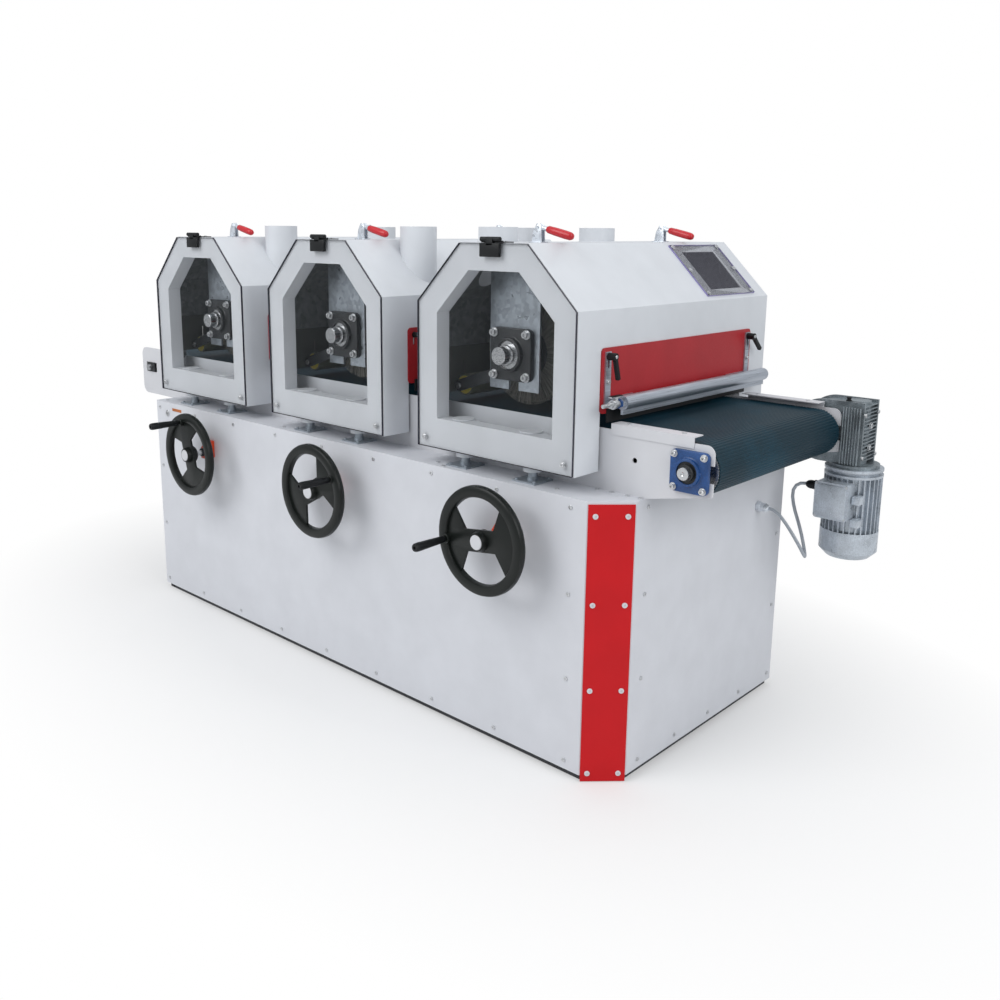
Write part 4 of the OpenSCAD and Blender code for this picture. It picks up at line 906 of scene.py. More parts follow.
@dataclass
class Cabinet(Assembly):
    """Closed cabinet with its screws, lock and coloured corner.

    Args:
        front: Box of the front sheet.
        deck: Box of the deck.
        plinth: Box of the recessed plinth.
        inset: Distance of the sheets' screws from the edges.
        chamfer: Width that the folded corner takes off each side.
        corner_sheet: Thickness of the coloured plate.
        corner_column: Distance of its screws from its middle line.
        corner_ends: Distance of its first and last screws from its foot and its top.
        lock: Place of the key lock along the front, and its height.
        label_lo: Lower end of the small plate along the front, and its height.
        label_hi: Its upper end.
        deck_spots: Places of the screws on the deck.
        screw: Button-head screw of the sheets.
    """

    front: Extent = field(default_factory=lambda: Extent.of("front_panel"))
    deck: Extent = field(default_factory=lambda: Extent.of("top_deck"))
    plinth: Extent = field(default_factory=lambda: Extent.of("plinth"))
    inset: float = 28.0
    chamfer: float = 100.0
    corner_sheet: float = 3.0
    corner_column: float = 46.0
    corner_ends: Pair = (26.0, 34.0)
    lock: Pair = (-1131.0, 810.0)
    label_lo: Pair = (-1091.0, 825.0)
    label_hi: Pair = (-1019.0, 837.0)
    deck_spots: tuple[Pair, ...] = (
        (490, -460), (541, -487), (977, -454), (-1180, -470), (-330, -470),
        (1112, -372), (1167, -372), (1210, -372), (1060, -372),
    )
    screw: Bolt = Bolt(6.5, 3.0, socket=2.6)

    def build(self) -> None:
        """Finish the sheets and add what is screwed to them."""
        self.keep("plinth", Shop.DARK)
        self.keep("front_panel", Shop.CABINET)
        self.keep("side_panels", Shop.CABINET)
        self.keep("top_deck", Shop.CABINET)
        self.keep("corner_plate", Shop.RED)
        self.panel_screws()
        self.deck_screws()
        self.corner_screws()
        self.lock_and_plate()
        self.foot()

    def sheet_screws(self, name: str, axis: Direction, places: Sequence[Point]) -> None:
        """Set a group of the sheets' screws."""
        self.put(self.screw.row(name, axis, places), "cabinet", Shop.BOLT)

    def panel_screws(self) -> None:
        """Screws round the front, the rear and both end sheets."""
        x0, x1 = self.front.lo.x + self.inset, self.front.hi.x - self.chamfer - 2 * self.inset
        z0, z1 = self.front.lo.z + self.inset, self.deck.hi.z - self.inset
        face = self.front.lo.y
        columns = [(x, face, z0 + (z1 - z0) * k / 3) for x in (x0, x1) for k in range(4)]
        rows = [(x0 + (x1 - x0) * k / 8, face, z) for k in range(1, 8) for z in (z0, z1)]
        self.sheet_screws("front_sheet_screws", Axis.BACK_Y, columns + rows)
        self.sheet_screws("rear_sheet_screws", Axis.Y, [(x, -y, z) for x, y, z in columns + rows])
        side = Extent.of("side_panels")
        y0, y1 = self.front.lo.y + self.chamfer + 2 * self.inset, side.hi.y - self.inset
        face = side.hi.x
        columns = [(face, y, z0 + (z1 - z0) * k / 3) for y in (y0, y1) for k in range(4)]
        rows = [(face, y0 + (y1 - y0) * k / 4, z0) for k in range(1, 4)]
        self.sheet_screws("end_sheet_screws", Axis.X, columns + rows)
        self.sheet_screws("infeed_sheet_screws", Axis.BACK_X, [(-x, y, z) for x, y, z in columns + rows])

    def deck_screws(self) -> None:
        """Screws on the open parts of the deck."""
        self.sheet_screws("deck_screws", Axis.Z, [(x, y, self.deck.hi.z) for x, y in self.deck_spots])

    def corner_screws(self) -> None:
        """Two columns of screws on the coloured corner plate."""
        plate = Extent.of("corner_plate")
        out = Vector((1.0, -1.0, 0.0)).normalized()
        along = Vector((1.0, 1.0, 0.0)).normalized()
        half = self.chamfer / 2
        face = Vector((self.front.hi.x - half, self.front.lo.y + half, 0.0)) + out * self.corner_sheet
        foot, head = self.corner_ends
        places = []
        for side in (-1, 1):
            for k in range(4):
                z = plate.lo.z + foot + (plate.size.z - foot - head) * k / 3
                places.append(tuple(face + along * side * self.corner_column + UP * z))
        self.put(Bolt(8.0, 3.2, socket=3.0).row("corner_screws", out, places), "cabinet", Shop.PLATE)

    def lock_and_plate(self) -> None:
        """Key lock with its round escutcheon, and a small bare plate beside it."""
        y = self.front.lo.y
        x, z = self.lock
        steps = [(14, 0), (14, 2.5), (12.5, 3.5), (9, 3.5), (9, 2.4), (6.5, 2.4), (6.5, 4.5)]
        self.put(Bench.turned("key_lock", steps, (x, y, z), Axis.BACK_Y, 32), "cabinet", Shop.STEEL)
        slot = Bench.block("key_slot", (x - 1, y - 4.9, z - 4), (x + 1, y - 4.3, z + 4))
        self.put(slot, "cabinet", Shop.PLASTIC)
        (x0, z0), (x1, z1) = self.label_lo, self.label_hi
        plate = Bench.block("small_plate", (x0, y - 1.2, z0), (x1, y, z1), bevel=0.4)
        self.put(plate, "cabinet", Shop.LABEL)

    def foot(self) -> None:
        """Low black foot under the infeed corner."""
        aside = 34
        x, y = self.plinth.lo.x + aside, self.plinth.lo.y + aside
        steps = [(24, 0), (27, 3), (27, 10), (18, 14), (9, 15), (9, 20)]
        self.put(Bench.turned("corner_foot", steps, (x, y, 0), Axis.Z, 32), "cabinet", Shop.PLASTIC)


@dataclass
class FlangeBearing:
    """Square cast bearing with four bolts, seen along Y.

    Args:
        x: Place of its axis along the feed.
        z: Height of its axis.
        face: Place of the face that it is bolted to.
        side: Length of its sides.
        pitch: Distance between its bolts.
        shaft: Radius of its shaft.
        toward: Way that it faces, -1 for the operator's side.
    """

    x: float
    z: float
    face: float
    side: float
    pitch: float
    shaft: float
    toward: int = -1

    def casting(self, name: str) -> Piece:
        """Rounded square flange with a stepped hub and a grease nipple.

        Args:
            name: Name of the piece.

        Returns:
            The casting as one object.
        """
        s, t = self.side, self.side * 0.12
        corner = s * 0.13
        outline = []
        for cx, cz, start in ((1, 1, 0), (-1, 1, 90), (-1, -1, 180), (1, -1, 270)):
            for k in range(5):
                a = math.radians(start + 22.5 * k)
                x = cx * (s / 2 - corner) + corner * math.cos(a)
                z = cz * (s / 2 - corner) + corner * math.sin(a)
                outline.append((self.x + x, self.face, self.z + z))
        flange = Bench.plate(name, outline, (0, self.toward * t, 0), bevel=1.6)
        axis = Axis.BACK_Y if self.toward < 0 else Axis.Y
        hub_r, ring_r = s * 0.33, s * 0.27
        steps = [
            (hub_r + 3, t * 0.6), (hub_r + 3, t), (hub_r, t + 2), (hub_r - 1, t + s * 0.09),
            (hub_r - 4, t + s * 0.1), (ring_r, t + s * 0.1), (ring_r, t + s * 0.05),
        ]
        hub = Bench.turned(name + "_hub", steps, (self.x, self.face, self.z), axis, 48)
        nipple_foot = (self.x + hub_r - 2, self.face + self.toward * (t + 1.5), self.z + 2)
        steps = [(3.4, 0), (3.4, 5), (2, 6), (2, 9), (2.8, 10), (1.5, 12)]
        lean = Vector((0.35, float(self.toward), 0.1)).normalized()
        nipple = Bench.turned(name + "_nipple", steps, nipple_foot, lean, 12)
        return Bench.join(name, [flange, hub, nipple])

    def insert(self, name: str) -> Piece:
        """Bearing insert with its locking collar round the shaft.

        Args:
            name: Name of the piece.

        Returns:
            The insert with its collar.
        """
        s, t = self.side, self.side * 0.12
        axis = Axis.BACK_Y if self.toward < 0 else Axis.Y
        steps = [
            (s * 0.27 - 0.4, t * 0.5), (s * 0.27 - 0.4, t + s * 0.055), (s * 0.2, t + s * 0.055),
            (s * 0.2, t + s * 0.15), (s * 0.19, t + s * 0.165), (self.shaft + 0.3, t + s * 0.165),
            (self.shaft + 0.3, t + s * 0.1),
        ]
        return Bench.turned(name, steps, (self.x, self.face, self.z), axis, 40)

    def bolts(self, name: str) -> Piece:
        """Four bolts with washers.

        Args:
            name: Name of the piece.

        Returns:
            The four bolts as one object.
        """
        axis = Axis.BACK_Y if self.toward < 0 else Axis.Y
        y = self.face + self.toward * self.side * 0.12
        half = self.pitch / 2
        places = [(self.x + sx * half, y, self.z + sz * half) for sx in (-1, 1) for sz in (-1, 1)]
        r = self.side * 0.066
        return Bolt(r, r * 1.1, washer=r * 1.35, socket=r * 0.5).row(name, axis, places)


@dataclass
class Conveyor(Assembly):
    """Belt conveyor through the whole sander.

    Args:
        belt: Box of the belt.
        plates: Box of the two side plates.
        roller: Box of the drive roller.
        rib_pitch: Distance between two ribs of the belt.
        rib_height: Height of a rib.
        rib_shares: Corners of a rib and its groove, as shares of the pitch.
        belt_thickness: Thickness of the belt.
        side: Length of the drive bearing's sides.
        pitch: Distance between its bolts.
        shaft_radius: Radius of the drive shaft.
        takeup: Half length and half height of a take-up block.
    """

    belt: Extent = field(default_factory=lambda: Extent.of("belt"))
    plates: Extent = field(default_factory=lambda: Extent.of("side_plates"))
    roller: Extent = field(default_factory=lambda: Extent.of("drive_roller"))
    rib_pitch: float = 9.5
    rib_height: float = 1.3
    rib_shares: tuple[float, ...] = (0.0, 0.18, 0.5, 0.68)
    belt_thickness: float = 3.0
    side: float = 117.0
    pitch: float = 92.0
    shaft_radius: float = 17.5
    takeup: Pair = (32.0, 21.5)

    def build(self) -> None:
        """Finish the plates and rollers and model the belt and the bearing."""
        self.keep("side_plates", Shop.PLATE)
        self.keep("edge_guards", Shop.PLATE)
        self.keep("conveyor_bed", Shop.ZINC)
        self.keep("drive_roller", Shop.STEEL)
        self.keep("idler_roller", Shop.STEEL)
        self.ribbed_belt()
        self.bearings()
        self.guard_bolts()
        self.roller_ends()

    def loop(self, offset: Callable[[float], float]) -> list[Vector]:
        """Points round the belt's path.

        Args:
            offset: Distance out of the path at a share of a rib, from 0 to 1.

        Returns:
            Points in the plane across the rollers, with Y at zero.
        """
        r = self.belt.size.z / 2
        z = self.belt.middle.z
        x0, x1 = self.belt.lo.x + r, self.belt.hi.x - r
        straight, arc = x1 - x0, math.pi * r
        total = 2 * (straight + arc)
        ribs = round(total / self.rib_pitch)
        points = []
        for k in range(ribs * 4):
            share = self.rib_shares[k % 4]
            s = (k // 4 + share) / ribs * total
            d = offset(share)
            if s < straight:
                points.append(Vector((x0 + s, 0, z + r + d)))
            elif s < straight + arc:
                a = (s - straight) / r
                points.append(Vector((x1 + (r + d) * math.sin(a), 0, z + (r + d) * math.cos(a))))
            elif s < 2 * straight + arc:
                points.append(Vector((x1 - (s - straight - arc), 0, z - r - d)))
            else:
                a = (s - 2 * straight - arc) / r
                points.append(Vector((x0 - (r + d) * math.sin(a), 0, z - (r + d) * math.cos(a))))
        return points

    def ribbed_belt(self) -> None:
        """Endless belt with fine ribs across it."""
        low, crest = -self.rib_height, self.rib_shares[1:3]
        outer = self.loop(lambda share: 0.0 if share in crest else low)
        inner = self.loop(lambda share: -self.belt_thickness)
        y0, y1 = Vector((0, self.belt.lo.y, 0)), Vector((0, self.belt.hi.y, 0))
        ways = ((outer, y0), (outer, y1), (inner, y1), (inner, y0))
        belt = Bench.rings("ribbed_belt", [[p + y for p in path] for path, y in ways], closed=True)
        self.put(belt, "cabinet", Shop.BELT, ["belt"], smooth=20.0)

    def bearings(self) -> None:
        """Blue bearing of the drive roller and dark take-up blocks of the idler."""
        r = self.belt.size.z / 2
        x, z = self.belt.hi.x - r, self.belt.middle.z
        unit = FlangeBearing(x, z, self.plates.lo.y, self.side, self.pitch, self.shaft_radius)
        self.put(unit.casting("drive_bearing"), "cabinet", Shop.BLUE, ["roller_bearings"])
        self.put(unit.insert("drive_bearing_insert"), "cabinet", Shop.BLACK_CAST, ["roller_bearings"])
        self.put(unit.bolts("drive_bearing_bolts"), "cabinet", Shop.BOLT, ["roller_bearings"])
        x = self.belt.lo.x + r
        w, h = self.takeup
        front, rear = self.plates.lo.y, self.plates.hi.y
        for name, y0, y1 in (("front", front - 4, front + 9), ("rear", rear - 9, rear + 4)):
            body = Bench.block(f"takeup_block_{name}", (x - w, y0, z - h), (x + w, y1, z + h), bevel=1.5)
            bore = Bench.rod("bore", (x, y0 - OVERRUN, z), Axis.Y, 12.8, y1 - y0 + 2 * OVERRUN)
            self.put(Bench.cut(body, bore), "cabinet", Shop.BLACK_CAST, ["roller_bearings"])
            screw = Bench.rod(f"takeup_screw_{name}", (x - w - 13, (y0 + y1) / 2, z), Axis.X, 4.0, 14, 16)
            self.put(screw, "cabinet", Shop.BOLT, ["roller_bearings"])

    def guard_bolts(self) -> None:
        """Low screws on top of the edge guards."""
        guard, aside, inset = Extent.of("edge_guards"), 24, 46
        places = []
        for y in (guard.lo.y + aside, guard.hi.y - aside):
            places += [(guard.lo.x + inset, y, guard.hi.z), (guard.hi.x - inset, y, guard.hi.z)]
        self.put(Bolt(6.5, 2.6, socket=2.6).row("guard_screws", Axis.Z, places), "cabinet", Shop.BOLT)

    def roller_ends(self) -> None:
        """Shaft end with a centre hole in the drive bearing."""
        r = self.belt.size.z / 2
        x, z = self.belt.hi.x - r, self.belt.middle.z
        y = self.roller.lo.y
        steps = [(17.3, 0), (17.3, 1.0), (16.3, 2.0), (6, 2.0), (3.2, 0.2)]
        self.put(Bench.turned("shaft_end", steps, (x, y, z), Axis.BACK_Y, 40), "drive_roller", Shop.STEEL)


@dataclass
class GearMotor(Assembly):
    """Worm gearbox with the motor hanging under it, its cable and glands.

    Args:
        gearbox: Box of the gearbox.
        motor: Box of the motor.
        output: Place of the output axis along the feed, and its height.
        body_end: End of the gearbox's main body along the feed.
        rib_count: Number of upright ribs on the gearbox's front.
        rib_pitch: Distance between two of them.
        motor_axis: Place of the motor's axis along and across the feed.
        flange_circle: Radius of the circle of the motor flange's bolts.
        flange_low: Height of their heads' seats.
        lug_heights: Heights of the two lugs beside the terminal box.
        terminal: Middle of the terminal box along the feed, and its height.
        terminal_half: Half length and half height of its lid.
        gland_length: Length of a cable gland.
        cable_radius: Radius of the cable.
        route: Points on the cable's middle line, from the cabinet to the motor.
    """

    gearbox: Extent = field(default_factory=lambda: Extent.of("worm_gearbox"))
    motor: Extent = field(default_factory=lambda: Extent.of("drive_motor"))
    output: Pair = (1362.0, 962.0)
    body_end: float = 1497.0
    rib_count: int = 7
    rib_pitch: float = 9.0
    motor_axis: Pair = (1457.0, 508.0)
    flange_circle: float = 84.0
    flange_low: float = 838.0
    lug_heights: Pair = (668.0, 744.0)
    terminal: Pair = (1441.0, 747.0)
    terminal_half: Pair = (50.0, 55.0)
    gland_length: float = 42.0
    cable_radius: float = 5.5
    route: tuple[Point, ...] = (
        (1254, 318, 700), (1276, 318, 698), (1296, 318, 688), (1312, 318, 673), (1328, 318, 656),
        (1343, 318, 638), (1357, 319, 619), (1370, 322, 599), (1379, 328, 580), (1383, 339, 563),
        (1381, 353, 553), (1375, 368, 550), (1367, 383, 554), (1358, 395, 566), (1349, 403, 584),
        (1340, 408, 606), (1330, 411, 630), (1320, 412, 655), (1310, 412, 680), (1302, 412, 705),
        (1297, 412, 730), (1298, 412, 753), (1307, 412, 770), (1322, 412, 780), (1340, 412, 783),
        (1352, 412, 783),
    )

    def build(self) -> None:
        """Finish the castings and add bolts, plugs, lid, glands and cable."""
        self.keep("worm_gearbox", Shop.SILVER)
        self.keep("drive_motor", Shop.MOTOR)
        self.keep("motor_fan", Shop.PLASTIC)
        self.output_flange()
        self.cover()
        self.ribs()
        self.motor_bolts()
        self.lid()
        self.glands()
        self.cable()

    @staticmethod
    def quarters(radius: float) -> list[Pair]:
        """Four places on a circle, at 45 degrees to the axes."""
        turns = [math.radians(d) for d in (45, 135, 225, 315)]
        return [(radius * math.cos(a), radius * math.sin(a)) for a in turns]

    def output_flange(self) -> None:
        """Black flange between the side plate and the gearbox."""
        x, z = self.output
        y = Extent.of("side_plates").hi.y
        steps = [(62.4, 0.2), (62.4, 10.5), (60.5, 12.3), (44, 12.3), (44, 20), (30, 22)]
        self.put(Bench.turned("output_flange", steps, (x, y, z), Axis.Y, 56), "cabinet", Shop.BLACK_CAST)
        places = [(x + dx, y + 12.3, z + dz) for dx, dz in self.quarters(52.0)]
        bolts = Bolt(6.5, 6, washer=9, socket=3).row("output_flange_bolts", Axis.Y, places)
        self.put(bolts, "cabinet", Shop.BRASS)

    def cover(self) -> None:
        """Bolts of the gearbox's cover, its plugs and its breather."""
        lo, hi, middle, x = self.gearbox.lo, self.gearbox.hi, self.gearbox.middle, self.body_end
        edge, reach = 26, 70
        end = [(x, y, middle.z + dz) for y in (lo.y + edge, hi.y - edge) for dz in (-reach, reach)]
        self.put(Bolt(6.5, 6, socket=3).row("gearbox_end_bolts", Axis.X, end), "cabinet", Shop.BOLT)
        plugs = [(x, middle.y, middle.z + dz) for dz in (30, -42)]
        self.put(Bolt(9, 5, washer=11, socket=4).row("gearbox_plugs", Axis.X, plugs), "cabinet", Shop.BOLT)
        steps = [(9, 0), (9, 4), (6, 4), (6, 8), (7.5, 9), (7.5, 13), (4, 15)]
        breather = Bench.turned("breather", steps, (x - 60, middle.y - 40, hi.z - 1), Axis.Z, 20)
        self.put(breather, "cabinet", Shop.PLASTIC)

    def ribs(self) -> None:
        """Upright ribs on the gearbox's front."""
        lo, middle, width = self.gearbox.lo, self.gearbox.middle, 4
        ribs = []
        for k in range(self.rib_count):
            x = self.body_end - 60 + self.rib_pitch * k
            foot = (x, lo.y - 4, middle.z - 92)
            head = (x + width, lo.y + 2, middle.z + 94)
            ribs.append(Bench.block("rib", foot, head, bevel=1.0))
        self.put(Bench.join("gearbox_front_ribs", ribs), "cabinet", Shop.SILVER)

    def motor_bolts(self) -> None:
        """Bolts of the motor's flange, and the lugs beside the terminal box."""
        x, y = self.motor_axis
        rim = [(x + dx, y + dy, self.flange_low) for dx, dy in self.quarters(self.flange_circle)]
        self.put(Bolt(6, 6, washer=8, socket=3).row("motor_flange_bolts", Axis.Z, rim), "cabinet", Shop.BOLT)
        height = 26
        lugs = [
            Bench.block(f"motor_lug_{k}", (x + 43, y - 110, z), (x + 71, y - 68, z + height), bevel=3)
            for k, z in enumerate(self.lug_heights)
        ]
        self.put(Bench.join("motor_lugs", lugs), "cabinet", Shop.MOTOR)

    def lid(self) -> None:
        """Raised lid of the terminal box with four screws."""
        (x, z), (w, h), y = self.terminal, self.terminal_half, self.motor.lo.y
        lid = Bench.block("terminal_lid", (x - w, y - 4, z - h), (x + w, y + 4, z + h), bevel=7)
        self.put(lid, "cabinet", Shop.MOTOR)
        places = [(x + sx * (w - 2), y - 0.5, z + sz * (h - 2)) for sx in (-1, 1) for sz in (-1, 1)]
        screws = Bolt(4.2, 3, socket=1.8).row("terminal_screws", Axis.BACK_Y, places)
        self.put(screws, "cabinet", Shop.BOLT)

    def glands(self) -> None:
        """Two cable glands with hexagon nuts and domed caps."""
        length = self.gland_length
        nut_end, dome_start, dome_end = length * 0.34, length * 0.7, length * 0.86
        wall = (Extent.of("side_panels").hi.x, *self.route[0][1:])
        box = (self.terminal[0] - 56, *self.route[-1][1:])
        for name, foot, axis, finish in (
            ("cabinet_gland", wall, Axis.X, Shop.BRIGHT),
            ("motor_gland", box, Axis.BACK_X, Shop.PLASTIC),
        ):
            nut = Bench.rod(name + "_nut", foot, axis, 17.5, nut_end, 6, bevel=1.2)
            dome = [(14.5, nut_end), (14.5, dome_start), (12.5, dome_end), (8.5, length), (5.6, length)]
            cap = Bench.turned(name + "_cap", dome, foot, axis, 24)
            self.put(Bench.join(name, [nut, cap]), "cabinet", finish, ["cable_glands"])

    def cable(self) -> None:
        """Grey cable that leaves the cabinet, hangs in a loop and enters the terminal box."""
        Bench.clear()
        bpy.ops.curve.primitive_nurbs_path_add()
        obj = bpy.context.object
        obj.name = "motor_cable_curve"
        curve = obj.data
        curve.splines.clear()
        spline = curve.splines.new("POLY")
        spline.points.add(len(self.route) - 1)
        for point, place in zip(spline.points, self.route):
            point.co = (*(Vector(place) * MM), 1.0)
        curve.dimensions = "3D"
        curve.bevel_depth = self.cable_radius * MM
        curve.bevel_resolution = 6
        curve.use_fill_caps = True
        curve.materials.append(Shop.CABLE.material())
        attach(obj, "cabinet")
        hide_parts("motor_cable")


@dataclass
class Head(Assembly):
    """One brush head with its hood, window, brush, roller and guard.

    Args:
        number: Place of the head along the feed, from 1.
        rows: Rows of single bristles at the drum's front end.
        strands: Bristles in a row.
        half_width: Half width of the hood.
        slope_drop: Height of the hood's slopes.
        roof_rise: Height of the spigots over the roof.
        sheet: Thickness of the hood's sheet.
        window_return: Depth of the folded return behind the pane.
        chamber_low: Height from which the hood's inner faces have the inside's finish: dark zinc with
            painted shade.
        brush_back: Distance of the brush's axis from the head's middle, towards the infeed.
        brush_height: Height of the brush's axis.
        bristle_ends: Both ends of the bristles across the feed.
        bristle_tip: Radius of the bristles' tips.
        carrier_half: Half width of a carrier plate.
        carrier_faces: Outer faces of the carrier plates.
        carrier_sheet: Thickness of a carrier plate.
        carrier_drop: Distance from the brush's axis to the plate's lower end.
        bearing_side: Length of the brush bearing's sides.
        bearing_pitch: Distance between its bolts.
        shaft_radius: Radius of the brush's shaft.
        shaft_bore: Radius of the carrier plate's opening round the shaft.
        roller_back: Distance of the press roller's axis from the head's middle.
        roller_height: Height of the press roller's axis.
        arm_back: Distance of the arms' upper ends from the head's middle.
        arm_height: Height of the arms' upper ends.
        arm_starts: Lower faces of the two arms across the feed.
        arm_half: Half width of an arm.
        sleeve_ends: Both ends of the press roller's sleeve.
        post_back: Distance of the guide posts' middle from the head's middle.
        post_spacing: Half distance between the two guide posts of a row.
        sill: Place of the sill's caps across the feed, and the sill's height.
        curtain_ends: Both ends of the infeed curtain.
        curtain_edges: Heights of its lower and upper edge over the side plates.
        curtain_flaps: Number of its flaps.
        slit_top: Height of the slits' upper ends over the side plates.
        toggle_pivot: Place of the toggle levers' pins, from the middle and the roof.
        toggle_dip: Slope of the toggle levers, in degrees.
        stud_reach: Distance of the guard's studs from its middle.
        wheel_right: Distance of the handwheel's axis from the head's middle.
        wheel_face: Place of the handwheel's web across the feed.
        wheel_height: Height of the handwheel's axis.
        wheel_turns: Turn of each handwheel's grip, in degrees.
        wheel_shaft: Rear end of the handwheel's shaft, and the shaft's length.
        grip_circle: Radius of the circle that the grip runs on.
    """

    number: int
    rows: int = 4
    strands: int = 210
    half_width: float = 316.0
    slope_drop: float = 182.0
    roof_rise: float = 46.0
    sheet: float = 3.0
    window_return: float = 55.0
    chamber_low: float = 1050.0
    brush_back: float = 17.0
    brush_height: float = 1223.0
    bristle_ends: Pair = (-300.0, 376.0)
    bristle_tip: float = 165.0
    carrier_half: float = 100.0
    carrier_faces: Pair = (-365.0, 441.0)
    carrier_sheet: float = 8.0
    carrier_drop: float = 112.0
    bearing_side: float = 162.0
    bearing_pitch: float = 130.0
    shaft_radius: float = 27.5
    shaft_bore: float = 35.5
    roller_back: float = 262.0
    roller_height: float = 1097.0
    arm_back: float = 70.0
    arm_height: float = 1163.0
    arm_starts: Pair = (-357.0, 425.0)
    arm_half: float = 19.0
    sleeve_ends: Pair = (-329.0, 405.0)
    post_back: float = 22.0
    post_spacing: float = 140.0
    sill: Pair = (-437.0, 1008.5)
    curtain_ends: Pair = (-426.0, 424.0)
    curtain_edges: Pair = (20.0, 170.0)
    curtain_flaps: int = 6
    slit_top: float = 120.0
    toggle_pivot: Pair = (51.0, 46.0)
    toggle_dip: float = 13.0
    stud_reach: float = 406.0
    wheel_right: float = 72.0
    wheel_face: float = -605.0
    wheel_height: float = 698.0
    wheel_turns: Point = (106.0, 29.0, 188.0)
    wheel_shaft: Pair = (-440.0, 150.0)
    grip_circle: float = 134.0

    def __post_init__(self) -> None:
        """Read the head's places from the frame."""
        i = self.number
        self.hood = Extent.of(f"hood_{i}")
        self.pane = Extent.of(f"window_{i}")
        self.brush = Extent.of(f"brush_{i}")
        self.roller = Extent.of(f"press_roller_{i}")
        self.guard = Extent.of(f"guard_plate_{i}")
        self.fittings = Extent.of(f"window_fittings_{i}")
        self.grip = Extent.of(f"wheel_grip_{i}")
        self.x = self.pane.middle.x
        self.roof = self.hood.hi.z - self.roof_rise
        self.brush_x = self.x - self.brush_back
        self.body = f"head_{i}"

    def build(self) -> None:
        """Finish the carried-over nodes and model the fine pieces."""
        i = self.number
        # Faces inside the chamber get the dark zinc finish, which is partly painted shade.
        self.keep_two(f"hood_{i}", Shop.HOOD, Shop.INSIDE_ZINC_AND_SHADE, self.in_shaded_chamber)
        self.keep_two(f"window_{i}", Shop.PANE, Shop.DARK_EDGE, lambda _, normal: abs(normal.y) < 0.5)
        strip = self.guard.lo.x + 4.2
        self.keep_two(f"guard_plate_{i}", Shop.GUARD, Shop.SEAL, lambda place, _: place.x > strip)
        self.seal()
        self.hinge()
        self.toggles()
        self.studs()
        self.carriers()
        self.bristles()
        self.press()
        self.sill_caps()
        self.curtain()
        self.handwheel()
        log.info("head %d done", i)

    def in_shaded_chamber(self, place: Vector, normal: Vector) -> bool:
        """Tell whether a face of the hood looks into the brush chamber, where the darker finish paints the
        chamber's shade.

        Args:
            place: Centre of the face, in millimetres.
            normal: Direction of the face.

        Returns:
            True for a face of the chamber.
        """
        aside = self.half_width - abs(place.x - self.x)
        slope = (aside + self.roof - self.slope_drop - place.z) * math.sqrt(0.5)
        depth = min(aside, self.roof - place.z, slope)
        front = self.hood.lo.y + self.window_return + self.sheet
        rear = self.hood.hi.y - self.sheet / 2
        return depth > self.sheet / 2 and front < place.y < rear and place.z > self.chamber_low

    def curtain(self) -> None:
        """Rubber curtain across the infeed mouth, inside the hood's wall."""
        gap, thickness = 0.2, 3
        x, bed = self.x - self.half_width + self.sheet + gap, Extent.of("side_plates").hi.z
        (y0, y1), (low, high) = self.curtain_ends, self.curtain_edges
        sheet = Bench.block("sheet", (x, y0, bed + low), (x + thickness, y1, bed + high), bevel=0.8)
        for k in range(1, self.curtain_flaps):
            y = y0 + (y1 - y0) * k / self.curtain_flaps
            lo = (x - OVERRUN, y - 1.2, bed)
            hi = (x + thickness + OVERRUN, y + 1.2, bed + self.slit_top)
            Bench.cut(sheet, Bench.block("slit", lo, hi))
        sheet.name = f"infeed_curtain_{self.number}"
        self.put(sheet, self.body, Shop.CURTAIN)

    def sill_caps(self) -> None:
        """Round white covers over the guide posts, on the sill behind the pane."""
        middle = self.x - self.post_back
        places = [(middle + s * self.post_spacing, *self.sill) for s in (-1, 1)]
        cap = Bench.turned("cap", [(34, 0), (36, 1.2), (36, 3), (34.5, 4.4)], ORIGIN, Axis.Z, 48)
        self.put(Bench.strewn(f"sill_caps_{self.number}", cap, places), self.body, Shop.HOOD)

    def outline(self, inset: float, y: float) -> list[Point]:
        """Outline of the pane, set in from its edge.

        Args:
            inset: Distance from the pane's edge.
            y: Place of the outline across the feed.

        Returns:
            Corners of the outline.
        """
        p = self.pane
        w = p.size.x / 2 - inset
        base, top = p.lo.z + inset, p.hi.z - inset
        mitre = inset * math.tan(math.radians(22.5))
        half_top = self.half_top - mitre
        shoulder = top - (w - half_top)
        return [
            (self.x - w, y, base), (self.x + w, y, base), (self.x + w, y, shoulder),
            (self.x + half_top, y, top), (self.x - half_top, y, top), (self.x - w, y, shoulder),
        ]

    @property
    def half_top(self) -> float:
        """Half width of the pane's flat top edge.

        Returns:
            Half the length of the edge, in millimetres.
        """
        top = self.pane.hi.z
        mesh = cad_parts[f"window_{self.number}"].data
        return max(v.co.x / MM - self.x for v in mesh.vertices if abs(v.co.z / MM - top) < 0.5)

    def seal(self) -> None:
        """Black seal behind the pane, and the two screws that hold the pane at its foot."""
        i, node = self.number, f"window_fittings_{self.number}"
        y0, y1 = self.pane.hi.y, self.fittings.hi.y
        ring = Bench.plate(f"pane_seal_{i}", self.outline(0.0, y0), (0, y1 - y0, 0))
        lip = 0.9
        hole = Bench.plate("hole", self.outline(lip, y0 - OVERRUN), (0, y1 - y0 + 2 * OVERRUN, 0))
        self.put(Bench.cut(ring, hole), f"window_{i}", Shop.SEAL, [node])
        y = self.pane.lo.y
        places = [(self.x + s * 282, y, self.pane.lo.z + 32) for s in (-1, 1)]
        screws = Bolt(7, 5, washer=9.5, socket=3).row(f"pane_screws_{i}", Axis.BACK_Y, places)
        self.put(screws, f"window_{i}", Shop.BOLT, [node])

